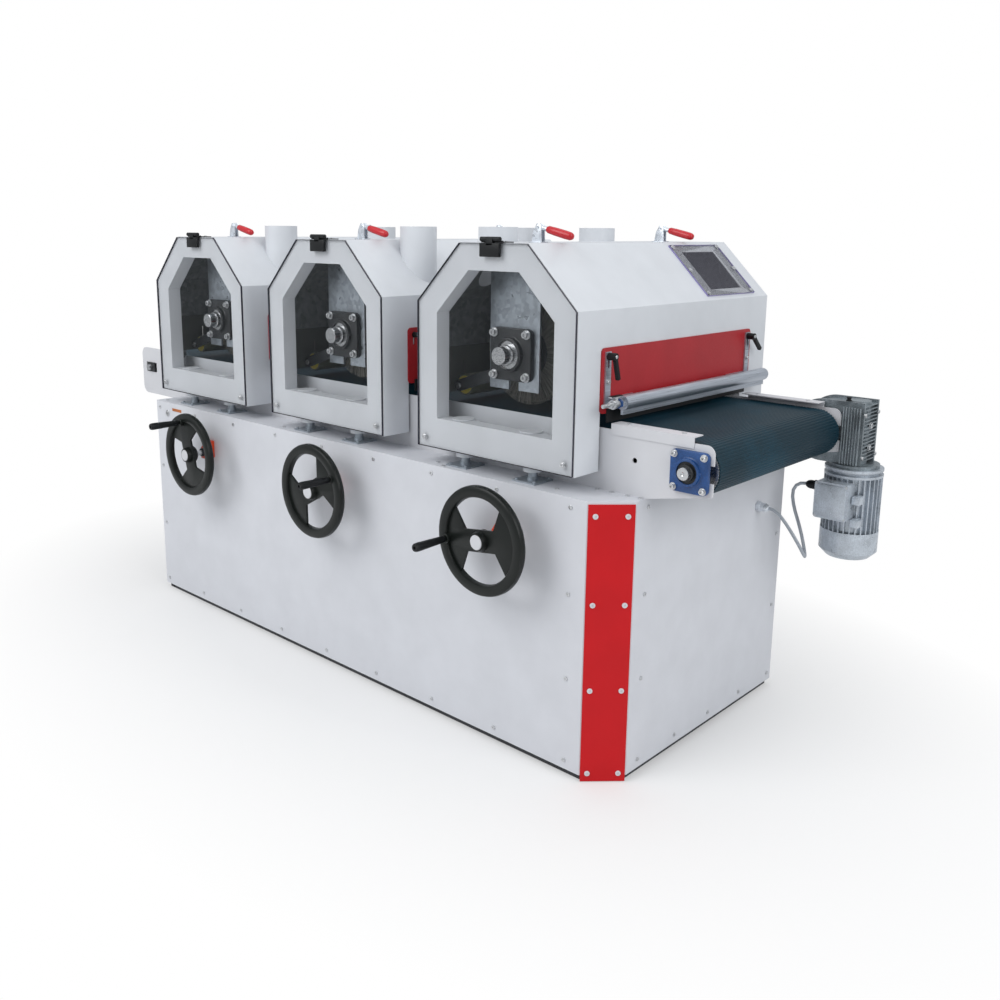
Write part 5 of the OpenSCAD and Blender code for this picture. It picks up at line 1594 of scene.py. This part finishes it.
    def hinge(self) -> None:
        """Black hinge: leaf block on the pane, knuckles and roof leaf."""
        i, node = self.number, f"window_fittings_{self.number}"
        x, y, roof = self.x, self.pane.lo.y, self.roof
        top, half, pin_z = roof - 1, 38, roof + 10
        block = Bench.block(f"hinge_block_{i}", (x - half, y - 12, top - 40), (x + half, y, top), bevel=2.0)
        tongue = Bench.block("tongue", (x - 13, y - 12, top - 7), (x + 13, y - 0.4, roof + 9), bevel=1.0)
        eye = Bench.rod("eye", (x - 13, y - 4, pin_z), Axis.X, 7, 26, 28)
        leaf = Bench.join(f"hinge_leaf_{i}", [block, tongue, eye])
        self.put(leaf, f"window_{i}", Shop.PLASTIC, [node])
        roof_node, front = f"roof_fittings_{i}", self.hood.lo.y
        parts = [Bench.block("leaf", (x - half, front, roof), (x + half, front + 48, roof + 3), bevel=0.8)]
        for x0 in (x - half, x + 13.4):
            parts.append(Bench.rod("knuckle", (x0, y - 4, pin_z), Axis.X, 7, 24.6, 28, bevel=0.8))
            parts.append(Bench.block("root", (x0, y - 4, roof), (x0 + 24.6, front + 2, roof + 6)))
        self.put(Bench.join(f"roof_leaf_{i}", parts), self.body, Shop.PLASTIC, [roof_node])
        places = [(x + s * 24, front + 30, roof + 3) for s in (-1, 1)]
        screws = Bolt(5, 2.4, socket=2.2).row(f"roof_leaf_screws_{i}", Axis.Z, places)
        self.put(screws, self.body, Shop.BOLT, [roof_node])

    def toggles(self) -> None:
        """Zinc brackets with levers and dipped grips."""
        i, node = self.number, f"roof_fittings_{self.number}"
        x, base, dip = self.x, self.roof, math.radians(self.toggle_dip)
        px, pz = x + self.toggle_pivot[0], base + self.toggle_pivot[1]
        along = Vector((math.cos(dip), 0, -math.sin(dip)))
        profile = ((26, 2), (64, 2), (62, 50), (55, 56), (45, 56), (32, 34))
        steps = [(8.6, 30), (11.0, 35), (12.2, 60), (12.6, 100), (11.8, 118), (8.5, 125), (3.0, 127)]
        for name in ("front", "rear"):
            lever = f"toggle_{name}_{i}"
            y = Extent.of(lever).middle.y
            pivot = (px, y, pz)
            parts = [Bench.block("foot", (x + 20, y - 16, base), (x + 70, y + 16, base + 3), bevel=0.8)]
            for side in (y - 9, y + 6):
                outline = [(x + dx, side, base + dz) for dx, dz in profile]
                parts.append(Bench.plate("cheek", outline, (0, 3, 0), bevel=0.6))
            parts.append(Bench.rod("pin", (px, y - 12, pz), Axis.Y, 4, 24, 20, bevel=0.8))
            bracket = Bench.join(f"toggle_bracket_{name}_{i}", parts)
            self.put(bracket, self.body, Shop.BRIGHT, [node])
            hub = Bench.rod("hub", (px, y - 5, pz), Axis.Y, 9, 10, 24, bevel=0.8)
            arm = Bench.turned("arm", [(6.5, 0), (7.5, 6), (7.5, 40)], pivot, along, 16)
            self.put(Bench.join(f"toggle_arm_{name}_{i}", [hub, arm]), lever, Shop.BRIGHT, [lever])
            grip = Bench.turned(f"toggle_grip_{name}_{i}", steps, pivot, along, 24)
            self.put(grip, lever, Shop.GRIP, [lever], smooth=60)

    def studs(self) -> None:
        """Threaded studs that hold the height guard, with knobs on the first two heads."""
        i, node = self.number, f"roof_fittings_{self.number}"
        z = self.guard.hi.z - 24
        x0 = self.x + self.half_width
        knobs, pins = [], []
        for s in (-1, 1):
            y = self.guard.middle.y + s * self.stud_reach
            reach = 36.0 if i == 3 else 24.0
            pins.append(Bench.rod("stud", (x0, y, z), Axis.X, 4, reach, 20, bevel=0.8))
            if i < 3:
                knobs.append(Bench.rod("washer", (x0 + 4.6, y, z), Axis.X, 10, 3, 28, bevel=0.5))
                steps = [(7, 7.5), (9, 10), (9, 20), (7.5, 23), (3, 23.6)]
                knobs.append(Bench.turned("knob", steps, (x0, y, z), Axis.X, 10))
        self.put(Bench.join(f"guard_studs_{i}", pins), self.body, Shop.STEEL, [node])
        if knobs:
            self.put(Bench.join(f"guard_knobs_{i}", knobs), self.body, Shop.PLASTIC, [node])

    def carriers(self) -> None:
        """Galvanised carrier plates with black bearings and the press roller's arms."""
        i, node = self.number, f"brush_carrier_{self.number}"
        top = Extent.of(node).hi.z
        bx, bz, half = self.brush_x, self.brush_height, self.carrier_half
        low, shelf = bz - self.carrier_drop, 40.0
        sides = zip(("front", "rear"), self.carrier_faces, self.arm_starts, (-1, 1))
        for name, outer, inner, toward in sides:
            y0, y1 = sorted((outer, outer - toward * self.carrier_sheet))
            plate = Bench.block("plate", (bx - half, y0, low), (bx + half, y1, top), bevel=1.2)
            start, depth = y0 - OVERRUN, self.carrier_sheet + 2 * OVERRUN
            bore = Bench.rod("bore", (bx, start, bz), Axis.Y, self.shaft_bore, depth, 40)
            slot_lo, slot_hi = (bx - 20, start, low - OVERRUN), (bx + 20, start + depth, low + 34)
            slot = Bench.block("slot", slot_lo, slot_hi)
            Bench.cut(plate, bore, slot)
            f0, f1 = sorted((outer, outer - toward * shelf))
            foot = Bench.block("foot", (bx - half, f0, top - 8), (bx + half, f1, top), bevel=1.2)
            self.put(Bench.join(f"carrier_{name}_{i}", [plate, foot]), self.body, Shop.ZINC, [node])
            unit = FlangeBearing(
                bx, bz, outer, self.bearing_side, self.bearing_pitch, self.shaft_radius, toward
            )
            self.put(unit.casting(f"brush_bearing_{name}_{i}"), self.body, Shop.BLACK_CAST, [node])
            self.put(unit.insert(f"brush_insert_{name}_{i}"), self.body, Shop.STEEL, [node])
            self.put(unit.bolts(f"brush_bearing_bolts_{name}_{i}"), self.body, Shop.BOLT, [node])
            self.put(self.arm(f"press_arm_{name}_{i}", inner), self.body, Shop.BLACK_CAST, [node])

    def arm(self, name: str, y: float) -> Piece:
        """Arm from the carrier plate down to the press roller.

        Args:
            name: Name of the piece.
            y: Lower face of the arm across the feed.

        Returns:
            The arm.
        """
        a = Vector((self.x - self.roller_back, y, self.roller_height))
        b = Vector((self.x - self.arm_back, y, self.arm_height))
        along = (b - a).normalized()
        normal = Vector((-along.z, 0, along.x))
        outline, half = [], self.arm_half
        for centre, start in ((a, 90), (b, -90)):
            for k in range(9):
                t = math.radians(start + 22.5 * k)
                outline.append(tuple(centre + along * (half * math.cos(t)) + normal * (half * math.sin(t))))
        return Bench.plate(name, outline, (0, 8, 0), bevel=1.0)

    def bristles(self) -> None:
        """Brush drum with its bristles, core, shaft and pulley."""
        i, node = self.number, f"brush_{self.number}"
        bx, bz = self.brush_x, self.brush_height
        y0, y1 = self.bristle_ends
        length = y1 - y0
        centre = (bx, 0, bz)
        fibre = Fibre(f"bristle_bundle_{i}", (0.27, 0.26, 0.225), 0.7, mottle=0.8, centre=centre)
        steps = [
            (79, 5), (150, 7), (158, 12), (158.5, 40), (158.5, length - 12), (150, length - 6), (79, length),
        ]
        drum = Bench.turned(f"bristle_drum_{i}", steps, (bx, y0, bz), Axis.Y, 96)
        self.put(drum, node, fibre, [node])
        self.put(self.strand_rows(f"bristle_ends_{i}"), node, fibre, [node], smooth=10)
        steps = [(30, -3), (72, -3), (77, 0), (80, 6)]
        core = Bench.turned(f"brush_core_{i}", steps, (bx, y0, bz), Axis.Y, 56)
        self.put(core, node, Shop.BLACK_CAST, [node])
        low, end, play = self.brush.lo.y, self.brush.hi.y, 0.1
        shaft = Bench.rod(
            f"brush_shaft_{i}", (bx, low, bz), Axis.Y, self.shaft_radius - play, end - low - 4, 40, bevel=1.5
        )
        self.put(shaft, node, Shop.STEEL, [node])
        width = 36.0
        steps = [(28, 0), (57, 0), (60, 2), (60, 6), (54, 8)]
        steps += [(r, width - h) for r, h in reversed(steps)]
        pulley = Bench.turned(f"brush_pulley_{i}", steps, (bx, end - width, bz), Axis.Y, 48)
        self.put(pulley, node, Shop.BLACK_CAST, [node])

    def strand_rows(self, name: str) -> Piece:
        """Rows of single strands over the drum's front end, as one object.

        Args:
            name: Name of the piece.

        Returns:
            All strands as one object.
        """
        bx, bz = self.brush_x, self.brush_height
        rows = []
        for row in range(self.rows):
            Bench.clear()
            root = 76.0
            length = self.bristle_tip - 1.6 * row - root
            y = self.bristle_ends[0] + 1.2 + 2.1 * row
            bpy.ops.mesh.primitive_cone_add(
                vertices=4, radius1=1.25 * MM, radius2=0.7 * MM, depth=length * MM,
                location=(bx * MM, y * MM, (bz + root + length / 2) * MM),
            )
            strand = bpy.context.object
            bpy.ops.object.transform_apply(location=True, rotation=True, scale=True)
            bpy.ops.object.mode_set(mode="EDIT")
            bpy.ops.mesh.select_all(action="SELECT")
            bpy.ops.mesh.spin(
                steps=self.strands, dupli=True, angle=math.radians(360.0),
                center=(bx * MM, y * MM, bz * MM), axis=(0, 1, 0),
            )
            bpy.ops.mesh.select_all(action="SELECT")
            seed = row + 7 * self.number
            bpy.ops.transform.vertex_random(offset=0.9 * MM, uniform=0.1, normal=0.0, seed=seed)
            bpy.ops.object.mode_set(mode="OBJECT")
            centre = Matrix.Translation(Vector((bx, y, bz)) * MM)
            turn = Matrix.Rotation(math.radians(360.0 / self.strands * (row * 0.37)), 4, "Y")
            strand.data.transform(centre @ turn @ centre.inverted())
            rows.append(strand)
        return Bench.join(name, rows)

    def press(self) -> None:
        """Press roller with its sleeve, end discs and shaft."""
        i, node = self.number, f"press_roller_{self.number}"
        x, z = self.roller.middle.x, self.roller.middle.z
        y0, y1 = self.sleeve_ends
        length = y1 - y0
        steps = [(30, 0), (33, 0), (35, 2), (35, length - 2), (33, length), (30, length)]
        self.put(Bench.turned(f"press_sleeve_{i}", steps, (x, y0, z), Axis.Y, 40), node, Shop.SLEEVE, [node])
        steps = [(29, -1), (30, 0), (30, length), (29, length + 1)]
        self.put(Bench.turned(f"press_discs_{i}", steps, (x, y0, z), Axis.Y, 40), node, Shop.YELLOW, [node])
        low, high = self.roller.lo.y, self.roller.hi.y
        shaft = Bench.rod(f"press_shaft_{i}", (x, low, z), Axis.Y, 10, high - low, 24, bevel=1)
        self.put(shaft, node, Shop.STEEL, [node])

    def handwheel(self) -> None:
        """Handwheel with a deep rim, a waisted web, a capped hub and a revolving grip."""
        i, node = self.number, f"handwheel_{self.number}"
        turn = math.radians(self.wheel_turns[i - 1])
        u = Vector((math.cos(turn), 0, math.sin(turn)))
        v = Vector((-math.sin(turn), 0, math.cos(turn)))
        hub = Vector((self.x + self.wheel_right, self.wheel_face, self.wheel_height))
        section = (
            (132, -7), (135, -12), (143, -14), (158, -14), (165, -10), (167.5, -3),
            (167.5, 5), (164, 11), (157, 14), (143, 14), (135, 12), (132, 7),
        )
        rings, count = [], 84
        for k in range(count):
            a = 2 * math.pi * k / count
            out = Vector((math.cos(a), 0, math.sin(a)))
            rings.append([hub + out * r + Vector((0, y, 0)) for r, y in section])
        rim = Bench.rings("rim", rings, closed=True)
        sweep = [math.radians(d) for d in range(-48, 49, 6)]
        reach, (waist, high) = 136, (56, 34)
        right = [(reach * math.cos(a), reach * math.sin(a)) for a in sweep] + [(waist, high)]
        left = [(-x, -y) for x, y in right]
        waisted = [*right, (-waist, high), *left, (waist, -high)]
        half = Vector((0, 4.5, 0))
        outline = [tuple(hub + u * across + v * upward - half) for across, upward in waisted]
        web = Bench.bevel(Bench.plate("web", outline, tuple(2 * half)), 1.2)
        steps = [(30, -21), (32, -19), (33, 0), (29, 16), (27, 21), (24, 22), (23, 20)]
        nave = Bench.turned("nave", steps, tuple(hub), Axis.BACK_Y, 48)
        at = hub + u * self.grip_circle
        steps = [(17, -4), (15, 6), (14.5, 16), (13, 17.5)]
        boss = Bench.turned("boss", steps, tuple(at), Axis.BACK_Y, 32)
        self.put(Bench.join(f"wheel_{i}", [rim, web, nave, boss]), node, Shop.ENAMEL, [node], smooth=40)
        steps = [(22.6, 18), (22.6, 22), (21, 23.5), (12, 24.4), (3, 24.7)]
        cap = Bench.turned(f"hub_cap_{i}", steps, tuple(hub), Axis.BACK_Y, 40)
        self.put(cap, node, Shop.PLATE, [node])
        start, length = self.wheel_shaft
        shaft = Bench.rod(f"wheel_shaft_{i}", (hub.x, start, hub.z), Axis.BACK_Y, 10, length, 32)
        self.put(shaft, node, Shop.STEEL, [node])
        length = self.grip.size.y
        steps = [
            (9.0, 0), (10.2, 1.5), (10.2, 6), (10.8, 12), (12.4, length * 0.5), (13.8, length * 0.88),
            (13.2, length * 0.96), (11.2, length), (5.0, length), (4.6, length - 4),
        ]
        grip = Bench.turned(f"turned_grip_{i}", steps, (at.x, self.grip.hi.y, at.z), Axis.BACK_Y, 32)
        self.put(grip, f"wheel_grip_{i}", Shop.PLASTIC, [f"wheel_grip_{i}"], smooth=50)


@dataclass
class Fittings(Assembly):
    """Posts, counters and the pieces that only the last head has.

    Args:
        shafts: Places of the handwheels' shafts along the feed.
        shaft_height: Height of the shafts.
        bar_axis: Place of the blow bar's axis along the feed, and its height.
        stud_reach: Distance of the bar's brackets and levers from the guard's middle.
        bracket_height: Height of the brackets' upper bolts.
        lever_height: Height of the clamping levers' screws.
    """

    shafts: Point = (-792.0, 12.0, 816.0)
    shaft_height: float = 698.0
    bar_axis: Pair = (1104.0, 1113.0)
    stud_reach: float = 406.0
    bracket_height: float = 1172.0
    lever_height: float = 1246.0

    def build(self) -> None:
        """Build the remaining pieces."""
        self.keep("lift_guides", Shop.ZINC)
        self.counters()
        self.inspection()
        self.blow_bar()
        self.valve()
        self.levers()

    def counters(self) -> None:
        """Orange position indicators with a dark counter and a collar round the shaft."""
        box = Extent.of("indicators")
        face, back, low = box.lo.y, box.hi.y, self.shaft_height - 26
        profile = ((back, 0), (face, 0), (face, 44), (back - 16, 70), (back, 70))
        slope = Vector((0, -26.0, 28.0)).normalized()
        up = Vector((0, 28.0, 26.0)).normalized()
        ring = [(17, 0), (17, 6), (15.5, 7.5), (10.4, 7.5), (10.4, 3)]
        for k, x in enumerate(self.shafts, 1):
            outline = [(x - 15, y, low + dz) for y, dz in profile]
            body = Bench.plate(f"counter_body_{k}", outline, (34, 0, 0), bevel=2.0)
            self.put(body, "cabinet", Shop.ORANGE, ["indicators"])
            centre = Vector((x + 2, (face + back - 16) / 2, low + 57))
            right, over = Vector((12, 0, 0)), up * 8
            turns = ((-1, -1), (1, -1), (1, 1), (-1, 1))
            outline = [tuple(centre + right * a + over * b) for a, b in turns]
            glass = Bench.plate(f"counter_window_{k}", outline, tuple(slope * 1.2), bevel=0.4)
            self.put(glass, "cabinet", Shop.DISPLAY, ["indicators"])
            foot = (x, face, self.shaft_height)
            collar = Bench.turned(f"counter_collar_{k}", ring, foot, Axis.BACK_Y, 32)
            self.put(collar, "cabinet", Shop.BLACK_CAST, ["indicators"])

    def inspection(self) -> None:
        """Clear pane on the last hood's slope, with tinted cut edges and screws."""
        node = "inspection_pane"
        self.keep_two(node, Shop.TINTED, Shop.EDGE, lambda _, normal: abs(normal.x + normal.z) < 1.2)
        box, inset, proud = Extent.of(node), 13.0, 1.5
        start = Vector((box.lo.x, 0, box.hi.z))
        path = Vector((box.hi.x, 0, box.lo.z)) - start
        places = []
        for share in (0.0, 0.5, 1.0):
            spot = start + path.normalized() * (inset + (path.length - 2 * inset) * share)
            for y in (box.lo.y + inset, box.hi.y - inset):
                places.append((spot.x + proud, y, spot.z + proud))
        out = Vector((1.0, 0, 1.0)).normalized()
        screws = Bolt(6, 3.5, washer=8.5, socket=2.6).row("inspection_screws", out, places)
        self.put(screws, "head_3", Shop.BOLT)

    def blow_bar(self) -> None:
        """Drawn blow bar with an end cap, a row of air holes and bracket bolts."""
        self.keep("blow_bar", Shop.ALU)
        box, radius = Extent.of("blow_bar"), 21.0
        x, z = box.hi.x - radius, self.bar_axis[1]
        cap = Bench.turned("bar_cap", [(20.5, -0.5), (20.5, 2.5), (19, 4)], (x, box.hi.y, z), Axis.Y, 40)
        self.put(cap, "guard_3", Shop.ZINC)
        count, start, pitch = 16, 60, 46
        holes = [(x + 2, box.lo.y + start + pitch * k, z + 20.7) for k in range(count)]
        self.put(Bolt(2.2, 0.9, socket=1.0).row("air_nozzles", Axis.Z, holes), "guard_3", Shop.BOLT)
        guard = Extent.of("guard_plate_3")
        face = guard.lo.x + 9
        places = []
        for s in (-1, 1):
            y = guard.middle.y + s * self.stud_reach
            places += [(face, y, self.bracket_height), (face, y - s * 60, z)]
        bolts = Bolt(6.5, 5, washer=9, socket=3).row("bracket_bolts", Axis.X, places)
        self.put(bolts, "guard_3", Shop.BOLT)

    def valve(self) -> None:
        """Finish of the shut-off valve with a black lever and a blue ring."""
        self.keep("air_valve", Shop.BOLT)
        box = Extent.of("air_valve")
        x, z = self.bar_axis
        lo = (x - 7, box.hi.y - 60, box.hi.z - 2)
        hi = (x + 7, box.hi.y - 8, box.hi.z + 1.5)
        self.put(Bench.block("valve_lever", lo, hi, bevel=1.4), "guard_3", Shop.PLASTIC)
        steps = [(14.5, 0), (14.5, 8), (12, 9)]
        ring = Bench.turned("valve_ring", steps, (x, box.hi.y - 12, z), Axis.BACK_Y, 6)
        self.put(ring, "guard_3", Shop.BLUE)

    def levers(self) -> None:
        """Finish of the clamping levers, with a screw in each hub."""
        steps = [(5.5, 0), (5.5, 1.4), (4.5, 2.2), (2.2, 2.2), (2, 0.8)]
        for name, side in (("front", -1), ("rear", 1)):
            node = f"clamp_lever_{name}"
            self.keep(node, Shop.PLASTIC)
            y = Extent.of("guard_plate_3").middle.y + side * self.stud_reach
            foot = (Extent.of(node).hi.x, y, self.lever_height)
            self.put(Bench.turned(f"lever_screw_{name}", steps, foot, Axis.X, 20), node, Shop.BOLT)


# Studio


@dataclass
class Studio:
    """Camera, floor, light and backdrop.

    Args:
        eye: Place of the camera.
        forward: Direction of the view.
        up: Direction that is up in the picture.
        lens: Focal length in millimetres on a 36 mm sensor.
        shift: Shift of the picture along its sides.
        floor_half: Half width of the floor, in metres.
    """

    eye: Point = (2698.0, -2639.0, 1594.0)
    forward: Point = (-0.66936, 0.71500, -0.20182)
    up: Point = (-0.14378, 0.14185, 0.97939)
    lens: float = 35.38
    shift: Pair = (0.0239, -0.067)
    floor_half: float = 14.0

    def build(self) -> None:
        """Set up the whole studio."""
        self.camera()
        self.floor()
        self.lamps()
        self.backdrop()
        bpy.context.scene.view_settings.view_transform = "Standard"

    def camera(self) -> None:
        """Camera at the photograph's place."""
        Bench.clear()
        bpy.ops.object.camera_add(location=Vector(self.eye) * MM)
        camera = bpy.context.object
        camera.name = "photo_camera"
        forward = Vector(self.forward).normalized()
        up = (Vector(self.up) - forward * Vector(self.up).dot(forward)).normalized()
        right = forward.cross(up)
        turn = Matrix((right, up, -forward)).transposed()
        camera.matrix_world = Matrix.Translation(Vector(self.eye) * MM) @ turn.to_4x4()
        camera.data.sensor_width = 36.0
        camera.data.lens = self.lens
        camera.data.shift_x, camera.data.shift_y = self.shift
        camera.data.clip_end = 100.0
        bpy.context.scene.camera = camera

    def floor(self) -> None:
        """Pale floor that fades into the white backdrop for the camera."""
        Bench.clear()
        bpy.ops.mesh.primitive_plane_add(size=2 * self.floor_half, location=(0, 0, -0.0005))
        floor = Bench.settle(bpy.context.object, "studio_floor")
        tree = Tree("studio_floor_paint")
        tree.shader.inputs["Base Color"].default_value = (0.80, 0.80, 0.80, 1.0)
        tree.shader.inputs["Roughness"].default_value = 0.9
        tree.shader.inputs["Specular IOR Level"].default_value = 0.1
        glow = tree.nodes.new("ShaderNodeEmission")
        glow.inputs["Color"].default_value = (1.0, 1.0, 1.0, 1.0)
        mix = tree.nodes.new("ShaderNodeMixShader")
        split = tree.nodes.new("ShaderNodeVectorMath")
        split.operation = "LENGTH"
        tree.links.new(tree.coordinates((0.62, 1.0, 1.0)), split.inputs[0])
        fade = tree.spread(split.outputs["Value"], 0.2, 1.0, 0.75, 1.6)
        path = tree.nodes.new("ShaderNodeLightPath")
        share = tree.maths("MULTIPLY", fade, path.outputs["Is Camera Ray"])
        output = next(n for n in tree.nodes if n.type == "OUTPUT_MATERIAL")
        tree.links.new(share, mix.inputs[0])
        tree.links.new(tree.shader.outputs["BSDF"], mix.inputs[1])
        tree.links.new(glow.outputs[0], mix.inputs[2])
        tree.links.new(mix.outputs[0], output.inputs["Surface"])
        floor.data.materials.append(tree.material)

    def lamps(self) -> None:
        """Three soft area lamps, with places and sizes in metres and powers in watts."""
        for name, place, size, power in (
            ("key_lamp", (-1.2, -4.6, 4.6), 4.0, 195.0),
            ("end_lamp", (5.2, -0.6, 3.4), 3.0, 95.0),
            ("top_lamp", (0.6, 1.6, 5.2), 5.0, 55.0),
        ):
            Bench.clear()
            bpy.ops.object.light_add(type="AREA", location=place)
            lamp = bpy.context.object
            lamp.name = name
            lamp.data.size = size
            lamp.data.energy = power
            aim = Vector((0.0, 0.0, 0.9)) - Vector(place)
            lamp.rotation_euler = aim.to_track_quat("-Z", "Y").to_euler()

    def backdrop(self) -> None:
        """White for the camera, soft grey light for all else."""
        world = bpy.context.scene.world or bpy.data.worlds.new("backdrop")
        bpy.context.scene.world = world
        world.use_nodes = True
        nodes, links = world.node_tree.nodes, world.node_tree.links
        nodes.clear()
        path = nodes.new("ShaderNodeLightPath")
        soft, white = nodes.new("ShaderNodeBackground"), nodes.new("ShaderNodeBackground")
        soft.inputs["Color"].default_value = (0.93, 0.96, 1.0, 1.0)
        soft.inputs["Strength"].default_value = 0.55
        white.inputs["Color"].default_value = (1.0, 1.0, 1.0, 1.0)
        mix, output = nodes.new("ShaderNodeMixShader"), nodes.new("ShaderNodeOutputWorld")
        links.new(path.outputs["Is Camera Ray"], mix.inputs[0])
        links.new(soft.outputs[0], mix.inputs[1])
        links.new(white.outputs[0], mix.inputs[2])
        links.new(mix.outputs[0], output.inputs["Surface"])


def main() -> None:
    """Build the whole visual model."""
    logging.basicConfig(level=logging.INFO, format="%(name)s: %(message)s")
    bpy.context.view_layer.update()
    Studio().build()
    Cabinet().build()
    Conveyor().build()
    GearMotor().build()
    for number in (1, 2, 3):
        Head(number).build()
    Fittings().build()


if __name__ == "__main__":
    main()
